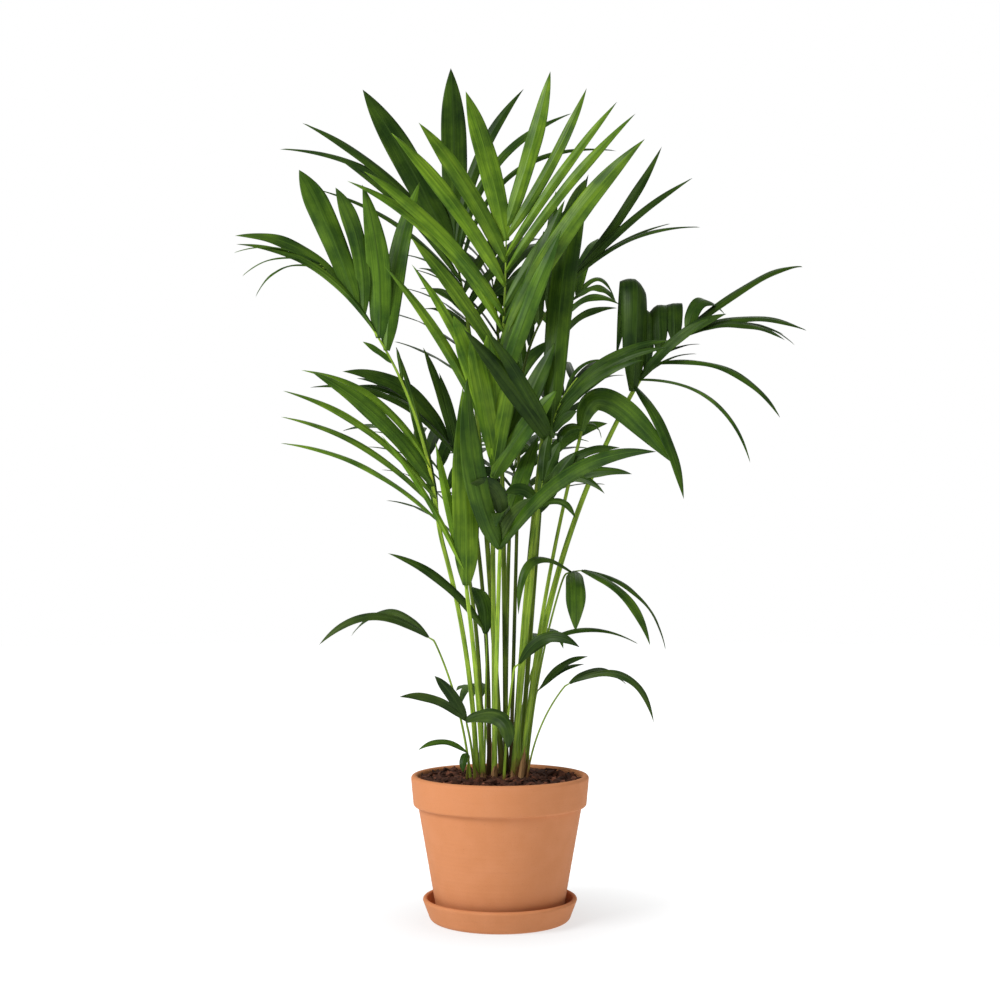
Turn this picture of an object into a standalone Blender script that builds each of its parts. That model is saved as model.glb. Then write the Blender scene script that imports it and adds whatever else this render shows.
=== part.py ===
"""A potted kentia palm: pot, saucer, soil, and fronds that stand on their own stems.

The frame has +Z up and its origin at the middle of the saucer's underside. The table of
fronds is in millimetres and degrees, and everything is scaled to metres where it is made.
"""

import math
import random
from collections import namedtuple

import bmesh
import bpy
from mathutils import Vector
from mathutils.bvhtree import BVHTree

MM = 0.001
GAP = 0.3 * MM
WELD = 0.003 * MM

# Saucer, from its underside.
SAUCER_HEIGHT = 35 * MM
SAUCER_BASE_RADIUS = 99 * MM
SAUCER_LIP_RADIUS = 117 * MM
SAUCER_WALL = 7.5 * MM
SAUCER_FLOOR = 9 * MM
SAUCER_CORNER = 9 * MM
SAUCER_FILLET = 4 * MM

# Pot, which stands on the saucer's floor.
POT_FOOT = SAUCER_FLOOR + GAP
POT_TOP = 220.5 * MM
POT_BASE_RADIUS = 94 * MM
POT_NECK_RADIUS = 124 * MM
POT_BAND_RADIUS = 131.5 * MM
POT_RIM_RADIUS = 135 * MM
POT_BAND_HEIGHT = 47 * MM
POT_WALL = 10.5 * MM
POT_FLOOR = 11 * MM
DRAIN_RADIUS = 11 * MM
POT_INNER_TOP = POT_RIM_RADIUS - POT_WALL
POT_INNER_FOOT = POT_BASE_RADIUS - POT_WALL + 3 * MM
POT_SHOULDER = 6 * MM
POT_SHOULDER_STEP = 4 * MM
POT_INNER_CHAMFER = 5 * MM
POT_FOOT_CHAMFER = 3 * MM
POT_FOOT_FLARE = 2 * MM
POT_BAND_CORNER = 4 * MM
POT_BAND_UNDERCUT = 1.5 * MM

SOIL_TOP = 212 * MM
SOIL_SLACK = 0.4 * MM
ROUND_STEPS = 32

# Stems and blades.
STEM_SIDES = 5
STEM_SPANS = 4
RACHIS_SIDES = 5
LEAD = 11 * MM
STRAIGHT_START = 0.6 * LEAD
RACHIS_TIP_RADIUS = 1.3 * MM
RACHIS_STRAY = 1.2 * MM
BEND_AT = 0.54
LEAF_ROOT = 0.28
LEAF_SHOULDER = 0.88
LEAF_SHOULDER_AT = 0.42
LEAF_TAPER = 2.2
LEAF_THICKNESS = 0.0125
LEAF_LEAST_THICKNESS = 1.4 * MM
LEAF_THINNING = 0.6
END_ON = 0.3
LENGTH_STEPS = 8
MOST_BENT = 0.3
BENT = 0.15
BROAD = 34 * MM
TIP_TWIST = 18
BENT_TWIST = 60
LONG_BLADE = 150 * MM
CLEARANCE = 1.3 * MM
FAR_SIDE_DROP = 0.035
HEADING_STRAY = 5
LEAN_STRAY = 0.12
REACH_STRAY = 0.08
LEAN_TRIES = (0, .1, -.1, .2, -.2, .32, -.32, .45, -.45, .6, -.6, .8, -.8)

# A frond's own upright plane is turned about the vertical by `turn`, and 0 faces the front.
# A heading is an angle in that plane from straight up. A lean is how far a blade comes out
# of the plane towards the front, as a share of its reach. A bow is how far the middle of an
# arch stands above its chord. `face` turns a blade from flat to the plane, 0, to flat up, 90.
# `widest` and `bend` are how far along a blade is at its widest, and how far along it bends.
Frond = namedtuple("Frond", "name tone turn foot crown bow radii rachis fans")
Fan = namedtuple("Fan", "count at heading lean reach width bow face widest bend",
                 defaults=(.54, .54))


def both_sides(count, at, heading, lean, reach, width, bow, face):
    """Return a fan and its mirror image on the other side of the rachis, a little lower down."""
    far_at = (at[0] - FAR_SIDE_DROP, at[1] - FAR_SIDE_DROP)
    far_lean = (-lean[0], -lean[1])
    return [Fan(count, at, heading, lean, reach, width, bow, face),
            Fan(count, far_at, heading, far_lean, reach, width, bow, face)]


# foot (x, y), crown (x, y, z), stem bow, radii at foot and crown, rachis (heading, lean,
# reach, bow), and fans of leaflets, each given by its first and its last leaflet.
FRONDS = [
    Frond("left", "mid", 0, (-35, -6), (-92, -25, 589), .035, (5, 4.2), (-24, .05, 435, .095), [
        Fan(3, (.03, .1), (-64, -55), (.5, .35), (244, 264), (9, 12), (.085, .09), 35),
        Fan(2, (.14, .2), (-47, -53), (.25, .1), (242, 238), (27, 13), (.075, .13), 35),
        Fan(2, (.06, .2), (-14, -16), (-.3, -.2), (205, 195), (17, 9), (.02, .02), 50),
        Fan(2, (.5, .57), (-10, -55), (-.1, .1), (54, 56), (6, 10), (.03, .03), 20),
        Fan(2, (.67, .62), (-6, 10), (.1, -.2), (226, 272), (36, 32), (.06, .05), 5, .4),
        Fan(2, (.81, .77), (-23, -12), (.0, .15), (220, 187), (37, 26), (.03, .09), 5, .7),
        Fan(2, (.86, .7), (-63, -59), (.05, .2), (187, 233), (21, 12), (.14, .14), 30),
        Fan(3, (1, .97), (-87, -118), (.4, .55), (120, 108), (6, 7), (.12, .2), 60)]),
    Frond("front_blade", "bright", 0, (-25, -22), (-49, -70, 498), .02, (4.8, 3.8), (-2, .0, 38, .0), [
        Fan(1, (.25, .25), (-1, -1), (.1, .1), (288, 288), (40, 40), (.02, .02), 0, .4),
        Fan(1, (.1, .1), (-12, -12), (.0, .0), (222, 222), (14, 14), (.0, .0), 20),
        Fan(1, (.6, .6), (-31, -31), (.1, .1), (240, 240), (9, 9), (.04, .04), 30)]),
    Frond("centre", "bright", 0, (-8, -6), (-12, -35, 661), .01, (5, 4.2), (3, -.04, 417, -.015), [
        Fan(2, (.12, .19), (-32, -28), (.25, .15), (304, 268), (16, 15), (.05, .04), 15),
        Fan(2, (.14, .08), (-19, -11), (.3, .3), (190, 180), (36, 31), (.03, .02), 0, .6),
        Fan(2, (.06, .05), (-3, 11), (.2, .2), (190, 135), (32, 31), (.02, .02), 0, .62),
        Fan(2, (.42, .53), (-37, -47), (.2, .15), (222, 315), (22, 17), (.03, .1), 10),
        Fan(2, (.59, .7), (-46, -38), (.25, .2), (286, 273), (21, 24), (.06, .04), 10),
        Fan(2, (.79, .87), (-33, -15.5), (.15, .1), (238, 227), (27, 33), (.04, .02), 5),
        Fan(1, (.92, .92), (16, 16), (.1, .1), (238, 238), (25, 25), (-.02, -.02), 5),
        Fan(1, (.88, .88), (29, 29), (.15, .15), (246, 246), (18, 18), (-.03, -.03), 10),
        Fan(2, (.81, .75), (37, 41), (.2, .25), (272, 289), (15, 16), (.02, .035), 10),
        Fan(2, (.62, .56), (35, 36), (.1, .15), (195, 267), (20, 17), (.03, .03), 15),
        Fan(1, (.48, .48), (36, 36), (.3, .3), (348, 348), (31, 31), (.06, .06), 5),
        Fan(2, (.36, .30), (20, 21), (.1, .2), (279, 254), (27, 26), (.02, .02), 5),
        Fan(2, (.02, .01), (25, 36), (.0, .1), (222, 165), (31, 30), (.0, .03), 5)]),
    Frond("front_low", "mid", 0, (-9, -21), (0, -85, 557), .02, (4.8, 3.6), (4, .1, 50, .0), [
        Fan(1, (.1, .1), (-11, -11), (.15, .15), (250, 250), (34.1, 34.1), (-.08, -.08), 0, .5, .4),
        Fan(1, (.9, .9), (-41, -41), (.5, .5), (70, 70), (25, 25), (.3, .3), 30),
        Fan(1, (.3, .3), (-20, -20), (2.2, 2.2), (20, 20), (30, 30), (.85, .85), 15),
        Fan(2, (.3, .1), (47, 59), (.7, .95), (80, 240), (25, 22), (.15, .12), 30),
        Fan(1, (.2, .2), (19, 19), (-.5, -.5), (177, 177), (26, 26), (.02, .02), 5)]),
    Frond("front_right", "dark", 0, (18, -24), (56, -55, 609), .0, (4.6, 4), (8, .0, 60, .0), [
        Fan(3, (.9, .1), (8, 32), (-.1, .1), (70, 105), (18, 25), (.04, .04), 15),
        Fan(1, (.3, .3), (-74, -74), (.5, .5), (54, 54), (20, 20), (.22, .22), 40),
        Fan(2, (.85, .55), (66, 79), (.1, .6), (125, 131), (17, 19), (.12, .1), 35),
        Fan(2, (.4, .2), (86, 107), (.7, .9), (92, 54), (13, 12), (.25, .25), 45)]),
    Frond("right_inner", "dark", 0, (27, -10), (75, -35, 722), .03, (5.4, 4), (23, .0, 105, .08), [
        Fan(2, (.0, .06), (-40, -33), (.5, .42), (196, 168), (28, 23), (.02, .02), 8, .4),
        Fan(1, (.05, .05), (8, 8), (-.12, -.12), (415, 415), (41, 41), (.063, .063), 5, .54, .78),
        Fan(2, (.55, .4), (61, 61), (.1, .3), (188, 186), (15, 15), (.12, .11), 35),
        Fan(2, (.3, .2), (58, 51), (.5, .4), (150, 130), (14, 15), (.1, .1), 35),
        Fan(1, (.7, .7), (50, 50), (-.3, -.3), (84, 84), (6, 6), (.2, .2), 30),
        Fan(1, (.12, .12), (51, 51), (.5, .5), (48, 48), (16, 16), (.08, .08), 30)]),
    Frond("right_arch", "dark", 0, (34, 5), (200, 0, 798), .055, (6.8, 4.2), (57, .0, 196, .16), [
        Fan(1, (.05, .05), (161, 161), (.6, .6), (186, 186), (18, 18), (.08, .08), 45),
        Fan(2, (.1, .23), (131, 115), (.5, .3), (202, 206), (8, 15), (.18, .165), 45, .7),
        Fan(1, (.02, .02), (-13, -13), (-1.9, -1.9), (70, 70), (42, 42), (.92, .92), 20, .35),
        Fan(3, (.19, .48), (-3, 8), (-2.5, -2.3), (38, 38), (28, 28), (.72, .46), 20, .4),
        Fan(1, (.6, .6), (60, 60), (-.7, -.7), (75, 75), (24, 24), (.38, .38), 35),
        Fan(1, (.38, .38), (58, 58), (-.3, -.3), (267, 267), (14, 14), (.065, .065), 35, .5, .8),
        Fan(2, (.1, .35), (50, 60), (.5, .15), (130, 112), (18, 18), (.07, .07), 30),
        Fan(2, (.55, .64), (88, 98), (.1, .3), (186, 135), (19, 16), (.12, .12), 45),
        Fan(2, (.76, .9), (94, 107), (-.2, .0), (122, 110), (10, 9), (.1, .12), 50),
        Fan(2, (.08, .2), (62, 64), (-.5, -.4), (110, 95), (6, 6), (.1, .1), 50)]),
    Frond("right_small", "mid", 0, (31, -23), (122, -18, 735), .02, (4.2, 3.2), (8, .1, 22, .0), [
        Fan(1, (.2, .2), (111, 111), (.4, .4), (142, 142), (36, 36), (.38, .38), 15, .66, -.2),
        Fan(1, (.5, .5), (-131, -131), (.2, .2), (46, 46), (15, 15), (.3, .3), 40),
        Fan(1, (.6, .6), (123, 123), (-.3, -.3), (35, 35), (12, 12), (.3, .3), 40)]),
    Frond("back_right_high", "dark", 0, (16, 3), (32, 60, 820), .0, (3.8, 3.2), (27, .0, 185, .09), [
        Fan(2, (.95, .9), (34, 50), (.0, .1), (256, 254), (17, 13), (-.03, .045), 20),
        Fan(2, (.92, .88), (60, 68), (.1, .25), (183, 221), (8, 8), (.08, .12), 40),
        Fan(2, (.8, .65), (14, 4), (-.1, -.1), (200, 190), (15, 18), (.02, .02), 10),
        Fan(3, (.12, .5), (-10, 3), (-.3, -.1), (120, 150), (20, 18), (.03, .03), 10)]),
    Frond("back_right", "dark", 0, (20, 20), (86, 120, 880), .02, (4.8, 3.8), (22, -.9, 120, .08), [
        Fan(1, (1, 1), (94, 94), (-.1, -.1), (60, 60), (13, 13), (.45, .45), 50),
        Fan(3, (.82, .1), (98, 62), (.3, .2), (70, 110), (17, 16), (.3, .15), 50),
        Fan(3, (.95, .2), (20, -60), (-.7, -.3), (120, 150), (21, 17), (.1, .15), 40)]),
    Frond("back_high", "dark", 0, (3, 13), (-46, 95, 882), .01, (5.4, 4.6), (-10, -.1, 168, .02), [
        Fan(2, (.95, .88), (-1, -29.5), (.0, .1), (290, 295), (42, 43), (.01, .02), 0, .6),
        Fan(2, (.82, .74), (-48, -56), (.0, .0), (331, 343), (18, 13), (.075, .15), 30),
        Fan(2, (.62, .57), (-45, -56), (.0, .0), (278, 274), (15, 9), (.065, .085), 30),
        Fan(3, (.9, .7), (22.5, 52), (.0, .0), (286, 317), (20, 9), (.08, .23), 25),
        Fan(3, (.45, .15), (-50, -60), (-.8, -.7), (100, 90), (17, 16), (.1, .12), 40),
        Fan(3, (.5, .2), (30, 48), (-.6, -.5), (180, 160), (17, 16), (.05, .08), 30)]),
    Frond("back_left", "dark", 0, (-17, 11), (-48, 55, 664), .04, (4.2, 3.6), (-39, -.2, 149, .1), [
        Fan(2, (.45, .3), (-56, -66), (.1, .3), (197, 240), (27, 11), (.16, .15), 40),
        Fan(3, (.9, .6), (-58, -68), (-.1, .2), (115, 145), (13, 11), (.12, .15), 45),
        Fan(2, (.3, .15), (-17, -14), (-.05, .0), (178, 155), (15, 12), (.03, .02), 30),
        Fan(2, (.8, .5), (-45, -36), (-.7, -.5), (80, 92), (18, 16), (.1, .1), 40)]),
    Frond("seedling_left", "mid", 0, (-44, -15), (-98, -45, 425), .045, (2.4, 1.8), (-60, .0, 14, .0), [
        Fan(1, (.9, .9), (-94, -94), (.3, .3), (156, 156), (16, 16), (.22, .22), 45),
        Fan(1, (.7, .7), (-90, -90), (-.3, -.3), (119, 119), (14, 14), (.3, .3), 45)]),
    Frond("seedling_leaf", "dark", 0, (-24, -9), (-20, -8, 426), .0, (2.2, 1.7), (-15, .0, 16, .0), [
        Fan(1, (.9, .9), (-51, -51), (.1, .1), (183, 183), (14, 14), (.09, .09), 30),
        Fan(1, (.5, .5), (-17, -17), (-.6, -.6), (74, 74), (24, 24), (.22, .22), 20)]),
    Frond("seedling_fan", "mid", 0, (-37, -29), (-49, -55, 300), .04, (2.6, 2), (-10, .2, 12, .0), [
        Fan(2, (.9, .6), (-36, -69), (.1, .3), (78, 104), (18, 14), (.04, .12), 30),
        Fan(1, (.8, .8), (86, 86), (.5, .5), (66, 66), (17, 17), (.11, .11), 45),
        Fan(1, (.5, .5), (119, 119), (.9, .9), (70, 70), (22, 22), (.34, .34), 35, .7, .88)]),
    Frond("seedling_low", "mid", 0, (-50, -28), (-46, -48, 253), .03, (2.1, 1.7), (-30, .1, 8, .0), [
        Fan(1, (.9, .9), (-85, -85), (.4, .4), (71, 71), (10, 10), (.18, .18), 45),
        Fan(1, (.6, .6), (-167, -167), (.8, .8), (27, 27), (12, 12), (.3, .3), 45)]),
    Frond("seedling_right", "mid", 0, (40, -27), (97, -30, 356), .07, (1.8, 1.5), (60, .0, 12, .0), [
        Fan(1, (.9, .9), (115, 115), (.3, .3), (133, 133), (14, 14), (.31, .31), 45),
        Fan(1, (.7, .7), (93, 93), (-.3, -.3), (88, 88), (15, 15), (.22, .22), 45)]),
    Frond("seedling_twin", "dark", 0, (33, 22), (57, 30, 344), .02, (2, 1.6), (50, .0, 10, .0), [
        Fan(2, (.9, .5), (56, 63), (.1, -.4), (86, 80), (11, 9), (.12, .1), 40)]),
    Frond("seedling_middle", "dark", 0, (6, -33), (21, -50, 385), .02, (2.6, 2), (50, .0, 12, .0), [
        Fan(1, (.9, .9), (74, 74), (.4, .4), (91, 91), (18, 18), (.27, .27), 45),
        Fan(1, (.7, .7), (81, 81), (-.1, -.1), (182, 182), (9, 9), (.19, .19), 45)]),
    Frond("seedling_droop", "mid", 0, (39, -16), (97, -15, 524), .03, (2.2, 1.8), (80, .0, 32, .05), [
        Fan(1, (.45, .45), (180, 180), (.6, .6), (88, 88), (30, 30), (.3, .3), 20),
        Fan(1, (.3, .3), (-128, -128), (.3, .3), (101, 101), (14, 14), (.42, .42), 45),
        Fan(2, (.85, .95), (139, 134), (.5, -.2), (146, 176), (16, 13), (.14, .17), 45)]),
    Frond("rear_left", "dark", 117, (-29, 22), (-52, 70, 540), .06, (4.4, 3.6), (46, .0, 285, .14),
          both_sides(6, (.1, .97), (28, 70), (1.3, .5), (88, 135), (27, 19), (.13, .12), 70)),
    Frond("rear_right", "dark", 66, (30, 34), (62, 84, 612), .0, (5, 4), (34, .0, 290, .14),
          both_sides(6, (.1, .97), (24, 66), (1.4, .5), (64, 118), (22, 18), (.13, .12), 70)),
    Frond("rear_high", "dark", 98, (9, 26), (2, 104, 740), .03, (5.2, 4.4), (27, .0, 350, .13),
          both_sides(8, (.1, .97), (12, 58), (1.3, .45), (130, 160), (28, 20), (.10, .11), 65)),
    Frond("rear_arch", "dark", 84, (8, 40), (14, 122, 560), .05, (5, 3.8), (52, .0, 290, .18),
          both_sides(7, (.1, .97), (40, 86), (1.5, .5), (100, 130), (26, 18), (.14, .13), 75)),
    Frond("rear_seedling", "mid", 75, (19, 46), (60, 94, 398), .05, (2.6, 2), (40, .0, 30, .05),
          both_sides(2, (.6, .95), (85, 100), (.4, .15), (60, 96), (17, 15), (.2, .24), 70)),
    Frond("rear_leaf", "mid", 105, (-14, 28), (-28, 84, 318), .05, (2.6, 2), (45, .0, 24, .05),
          both_sides(2, (.6, .95), (80, 104), (.35, .1), (60, 92), (17, 15), (.2, .24), 70)),
]

TONES = {"bright": (0.20, 0.42, 0.06), "mid": (0.10, 0.28, 0.05), "dark": (0.05, 0.16, 0.035)}
TERRACOTTA = (0.72, 0.30, 0.14)
SOIL_COLOUR = (0.07, 0.035, 0.02)
STEM_COLOUR = (0.30, 0.44, 0.10)


def material(name, colour, roughness):
    """Return a plain material of the given colour and roughness."""
    found = bpy.data.materials.new(name)
    found.use_nodes = True
    shader = found.node_tree.nodes["Principled BSDF"]
    shader.inputs["Base Color"].default_value = (*colour, 1)
    shader.inputs["Roughness"].default_value = roughness
    return found


def new_object(name, points, faces, surface):
    """Link a new object made of the given points and faces."""
    mesh = bpy.data.meshes.new(name)
    mesh.from_pydata(points, [], faces)
    mesh.materials.append(surface)
    made = bpy.data.objects.new(name, mesh)
    bpy.context.scene.collection.objects.link(made)
    return made


def turned(name, profile, surface):
    """Turn a closed profile of (radius, height) points about the vertical axis."""
    points, rings = [], []
    for radius, height in profile:
        steps = ROUND_STEPS if radius > 0 else 1
        rings.append([len(points) + i for i in range(steps)])
        for i in range(steps):
            angle = math.tau * i / steps
            points.append((radius * math.cos(angle), radius * math.sin(angle), height))
    faces = []
    for low, high in zip(rings, rings[1:] + rings[:1]):
        for i in range(ROUND_STEPS):
            j = (i + 1) % ROUND_STEPS
            corners = [low[i % len(low)], low[j % len(low)], high[j % len(high)], high[i % len(high)]]
            corners = list(dict.fromkeys(corners))
            if len(corners) > 2:
                faces.append(corners)
    made = new_object(name, points, faces, surface)
    made.data.shade_smooth()
    made.data.set_sharp_from_angle(angle=math.radians(35))
    return made


def arc(centre, radius, start, end, steps):
    """Return points on an arc, from one angle in degrees to another."""
    angles = [math.radians(start + (end - start) * i / steps) for i in range(steps + 1)]
    return [(centre[0] + radius * math.cos(a), centre[1] + radius * math.sin(a)) for a in angles]


def make_saucer(surface):
    """Make the saucer: a shallow dish with a round lip and a round lower corner."""
    lip = SAUCER_WALL / 2
    corner = SAUCER_CORNER
    inner = SAUCER_BASE_RADIUS + corner - SAUCER_WALL
    profile = [(inner, SAUCER_FLOOR + SAUCER_FILLET), (inner - SAUCER_FILLET, SAUCER_FLOOR)]
    profile += [(0, SAUCER_FLOOR), (0, 0)]
    profile += arc((SAUCER_BASE_RADIUS, corner), corner, -90, -18, 3)
    profile += arc((SAUCER_LIP_RADIUS - lip, SAUCER_HEIGHT - lip), lip, 0, 180, 4)
    return turned("saucer", profile, surface)


def make_pot(surface):
    """Make the pot: a tapered body under a deeper rim band, with a drain hole."""
    lip = POT_WALL / 2
    band_foot = POT_TOP - POT_BAND_HEIGHT
    floor = POT_FOOT + POT_FLOOR
    profile = [(POT_INNER_TOP, band_foot + POT_SHOULDER)]
    profile += [(POT_INNER_TOP - POT_SHOULDER_STEP, band_foot - POT_SHOULDER)]
    profile += [(POT_INNER_FOOT, floor + POT_INNER_CHAMFER), (POT_INNER_FOOT - POT_INNER_CHAMFER, floor)]
    profile += [(DRAIN_RADIUS, floor), (DRAIN_RADIUS, POT_FOOT), (POT_BASE_RADIUS, POT_FOOT)]
    profile += [(POT_BASE_RADIUS + POT_FOOT_FLARE, POT_FOOT + POT_FOOT_CHAMFER)]
    profile += [(POT_NECK_RADIUS, band_foot - POT_BAND_UNDERCUT)]
    corner = (POT_BAND_RADIUS - POT_BAND_CORNER, band_foot + POT_BAND_CORNER)
    profile += arc(corner, POT_BAND_CORNER, -90, 0, 3)
    profile += arc((POT_RIM_RADIUS - lip, POT_TOP - lip), lip, 0, 180, 5)
    return turned("pot", profile, surface)


def make_soil(surface):
    """Make the soil, which fills the pot up to a flat top."""
    band_foot = POT_TOP - POT_BAND_HEIGHT
    floor = POT_FOOT + POT_FLOOR + GAP
    top = POT_INNER_TOP - SOIL_SLACK
    foot = POT_INNER_FOOT - SOIL_SLACK
    profile = [(0, SOIL_TOP), (0, floor), (foot - POT_INNER_CHAMFER, floor)]
    profile += [(foot, floor + POT_INNER_CHAMFER), (top - POT_SHOULDER_STEP, band_foot - POT_SHOULDER)]
    profile += [(top, band_foot + POT_SHOULDER), (top, SOIL_TOP)]
    return turned("soil", profile, surface)


def between(pair, share):
    """Return the value at a share of the way from the first to the second of a pair."""
    return pair[0] + (pair[1] - pair[0]) * share


def arch(start, end, bow, bend=BEND_AT):
    """Return a path for a limb that rises above its chord by a share of it, most near the bend."""
    chord = end - start
    along = chord.normalized()
    above = Vector((0, 0, 1)) - along * along.z
    if above.length < 0.01:
        above = Vector((1, 0, 0))
    top = start + chord * bend + above.normalized() * (2 * bow * chord.length)

    def point(t):
        return start * (1 - t) ** 2 + top * (2 * t * (1 - t)) + end * t ** 2
    return point


def slope(path, t):
    """Return the unit direction of a path at t."""
    return (path(min(1, t + 0.01)) - path(max(0, t - 0.01))).normalized()


def plane_axes(turn):
    """Return the level and the outward axis of a frond's upright plane."""
    angle = math.radians(turn)
    level = Vector((math.cos(angle), math.sin(angle), 0))
    outward = Vector((math.sin(angle), -math.cos(angle), 0))
    return level, outward


def reach_to(start, turn, heading, lean, reach):
    """Return the far end of a limb that leaves start with the given heading, lean and reach."""
    level, outward = plane_axes(turn)
    angle = math.radians(heading)
    step = level * math.sin(angle) + Vector((0, 0, 1)) * math.cos(angle) + outward * lean
    return start + step * (reach * MM)


def quad(a, b, c, d):
    """Return a four-sided face as two triangles, so that it is split the same way everywhere."""
    return [(a, b, c), (a, c, d)]


def tube(points, radii, sides):
    """Return the points and faces of a tapered tube with flat ends."""
    verts, faces = [], []
    side = Vector((0, 1, 0))
    for i, (centre, radius) in enumerate(zip(points, radii)):
        along = (points[min(i + 1, len(points) - 1)] - points[max(i - 1, 0)]).normalized()
        side = (side - along * side.dot(along)).normalized()
        across = along.cross(side)
        for j in range(sides):
            angle = math.tau * j / sides
            verts.append(centre + (side * math.cos(angle) + across * math.sin(angle)) * radius)
    for i in range(len(points) - 1):
        for j in range(sides):
            a, b = i * sides + j, i * sides + (j + 1) % sides
            faces += quad(a, b, b + sides, a + sides)
    faces.append(tuple(range(sides))[::-1])
    faces.append(tuple(range((len(points) - 1) * sides, len(points) * sides)))
    return verts, faces


def leaf_share(t, widest):
    """Return a leaflet's width at t as a share of its greatest width."""
    shoulder = LEAF_SHOULDER_AT * widest
    if t < shoulder:
        return LEAF_ROOT + (LEAF_SHOULDER - LEAF_ROOT) * math.sin(math.pi / 2 * t / shoulder)
    if t < widest:
        return 1 - (1 - LEAF_SHOULDER) * ((widest - t) / (widest - shoulder)) ** 2
    return 1 - ((t - widest) / (1 - widest)) ** LEAF_TAPER


def path_length(path):
    """Return the length of a path, measured in a few straight steps."""
    marks = [path(i / LENGTH_STEPS) for i in range(LENGTH_STEPS + 1)]
    return sum((far - near).length for near, far in zip(marks, marks[1:]))


def stations(leaflet, shares):
    """Yield stations along a leaflet: centre, direction across, direction above, half width, rise."""
    path, turn, width, face, bow, widest = leaflet
    level, outward = plane_axes(turn)
    angle = math.radians(face)
    front = outward * math.cos(angle) + Vector((0, 0, 1)) * math.sin(angle)
    across = slope(path, 0).cross(front)
    if across.length < END_ON:
        across = slope(path, 0).cross(front + level / 2)
    length = path_length(path)
    height = max(length * LEAF_THICKNESS, LEAF_LEAST_THICKNESS)
    twist = math.radians(TIP_TWIST)
    if length > LONG_BLADE:
        twist += math.radians(BENT_TWIST) * max(0, bow - MOST_BENT)
    if (path(1) - path(0)).dot(level) < 0:
        twist = -twist
    for t in shares:
        along = slope(path, t)
        across = (across - along * across.dot(along)).normalized()
        above = across.cross(along)
        side = across * math.cos(twist * t) + above * math.sin(twist * t)
        rise = height * (1 - LEAF_THINNING * t)
        yield path(t), side, side.cross(along), width / 2 * leaf_share(t, widest), rise


def blade_rings(leaflet):
    """Yield the stations that a leaflet's solid has, more of them on a long or bent one."""
    path, turn, width, face, bow, widest = leaflet
    rings = 8 if bow > MOST_BENT else 6 if bow > BENT else 5 if width > BROAD else 4
    return stations(leaflet, [i / rings for i in range(rings)])


def blade(leaflet):
    """Return the points and faces of one leaflet: a thin ridged blade with a pointed tip."""
    verts, faces = [], [(0, 1, 2)]
    for centre, across, above, half, rise in blade_rings(leaflet):
        verts += [centre - across * half, centre + across * half, centre + above * rise]
    last, tip = len(verts) - 3, len(verts)
    verts.append(leaflet[0](1))
    for start in range(0, last, 3):
        for j in range(3):
            a, b = start + j, start + (j + 1) % 3
            faces += quad(b, a, a + 3, b + 3)
    for j in range(3):
        faces.append((last + (j + 1) % 3, last + j, tip))
    return verts, faces


def sleeve(leaflet):
    """Return the points and faces of the room a leaflet needs: its blade with a clear margin."""
    verts = []
    for centre, across, above, half, rise in blade_rings(leaflet):
        side = across * (half + CLEARANCE)
        low, high = above * -CLEARANCE, above * (rise + CLEARANCE)
        verts += [centre - side + low, centre + side + low, centre + side + high, centre - side + high]
    side = across * CLEARANCE
    centre = leaflet[0](1)
    verts += [centre - side + low, centre + side + low, centre + side - low, centre - side - low]
    faces = [(0, 1, 2, 3)]
    for start in range(0, len(verts) - 4, 4):
        for j in range(4):
            a, b = start + j, start + (j + 1) % 4
            faces += quad(b, a, a + 4, b + 4)
    end = len(verts) - 4
    faces.append((end + 3, end + 2, end + 1, end))
    return verts, faces


def stem_path(frond):
    """Return the path of a frond's stem, from its foot on the soil to its crown."""
    foot = Vector((frond.foot[0] * MM, frond.foot[1] * MM, SOIL_TOP + GAP))
    crown = Vector(frond.crown) * MM
    return arch(foot, crown, frond.bow)


def stem_points(frond):
    """Return the points and radii of a stem, which ends just under the crown."""
    path = stem_path(frond)
    length = (path(1) - path(0)).length
    end = 1 - LEAD / length
    shares = [end * i / STEM_SPANS for i in range(STEM_SPANS + 1)]
    points = [path(t) for t in shares]
    points[0] = Vector((points[0].x, points[0].y, SOIL_TOP + GAP))
    radii = [between(frond.radii, t) * MM for t in shares]
    return points, radii


def stem_solid(frond):
    """Return a stem's points and faces, with its foot cut flat."""
    points, radii = stem_points(frond)
    verts, faces = tube(points, radii, STEM_SIDES)
    for vert in verts[:STEM_SIDES]:
        vert.z = SOIL_TOP + GAP
    return verts, faces


def rachis_path(frond):
    """Return the path of a frond's rachis, from its crown to its tip."""
    crown = Vector(frond.crown) * MM
    heading, lean, reach, bow = frond.rachis
    return arch(crown, reach_to(crown, frond.turn, heading, lean, reach), bow)


def rachis_solid(frond):
    """Return a rachis's points and faces. It starts where the stem ends, a gap away."""
    ends, radii = stem_points(frond)
    along = (ends[-1] - ends[-2]).normalized()
    path = rachis_path(frond)
    rise = frond.rachis[3] * (path(1) - path(0)).length
    spans = max(2, round(math.sqrt(abs(rise) / RACHIS_STRAY)))
    points = [ends[-1] + along * GAP, ends[-1] + along * (GAP + STRAIGHT_START)]
    points += [path(i / spans) for i in range(spans + 1)]
    widths = [radii[-1], radii[-1]]
    widths += [between((radii[-1], RACHIS_TIP_RADIUS), i / spans) for i in range(spans + 1)]
    return tube(points, widths, RACHIS_SIDES)


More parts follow.
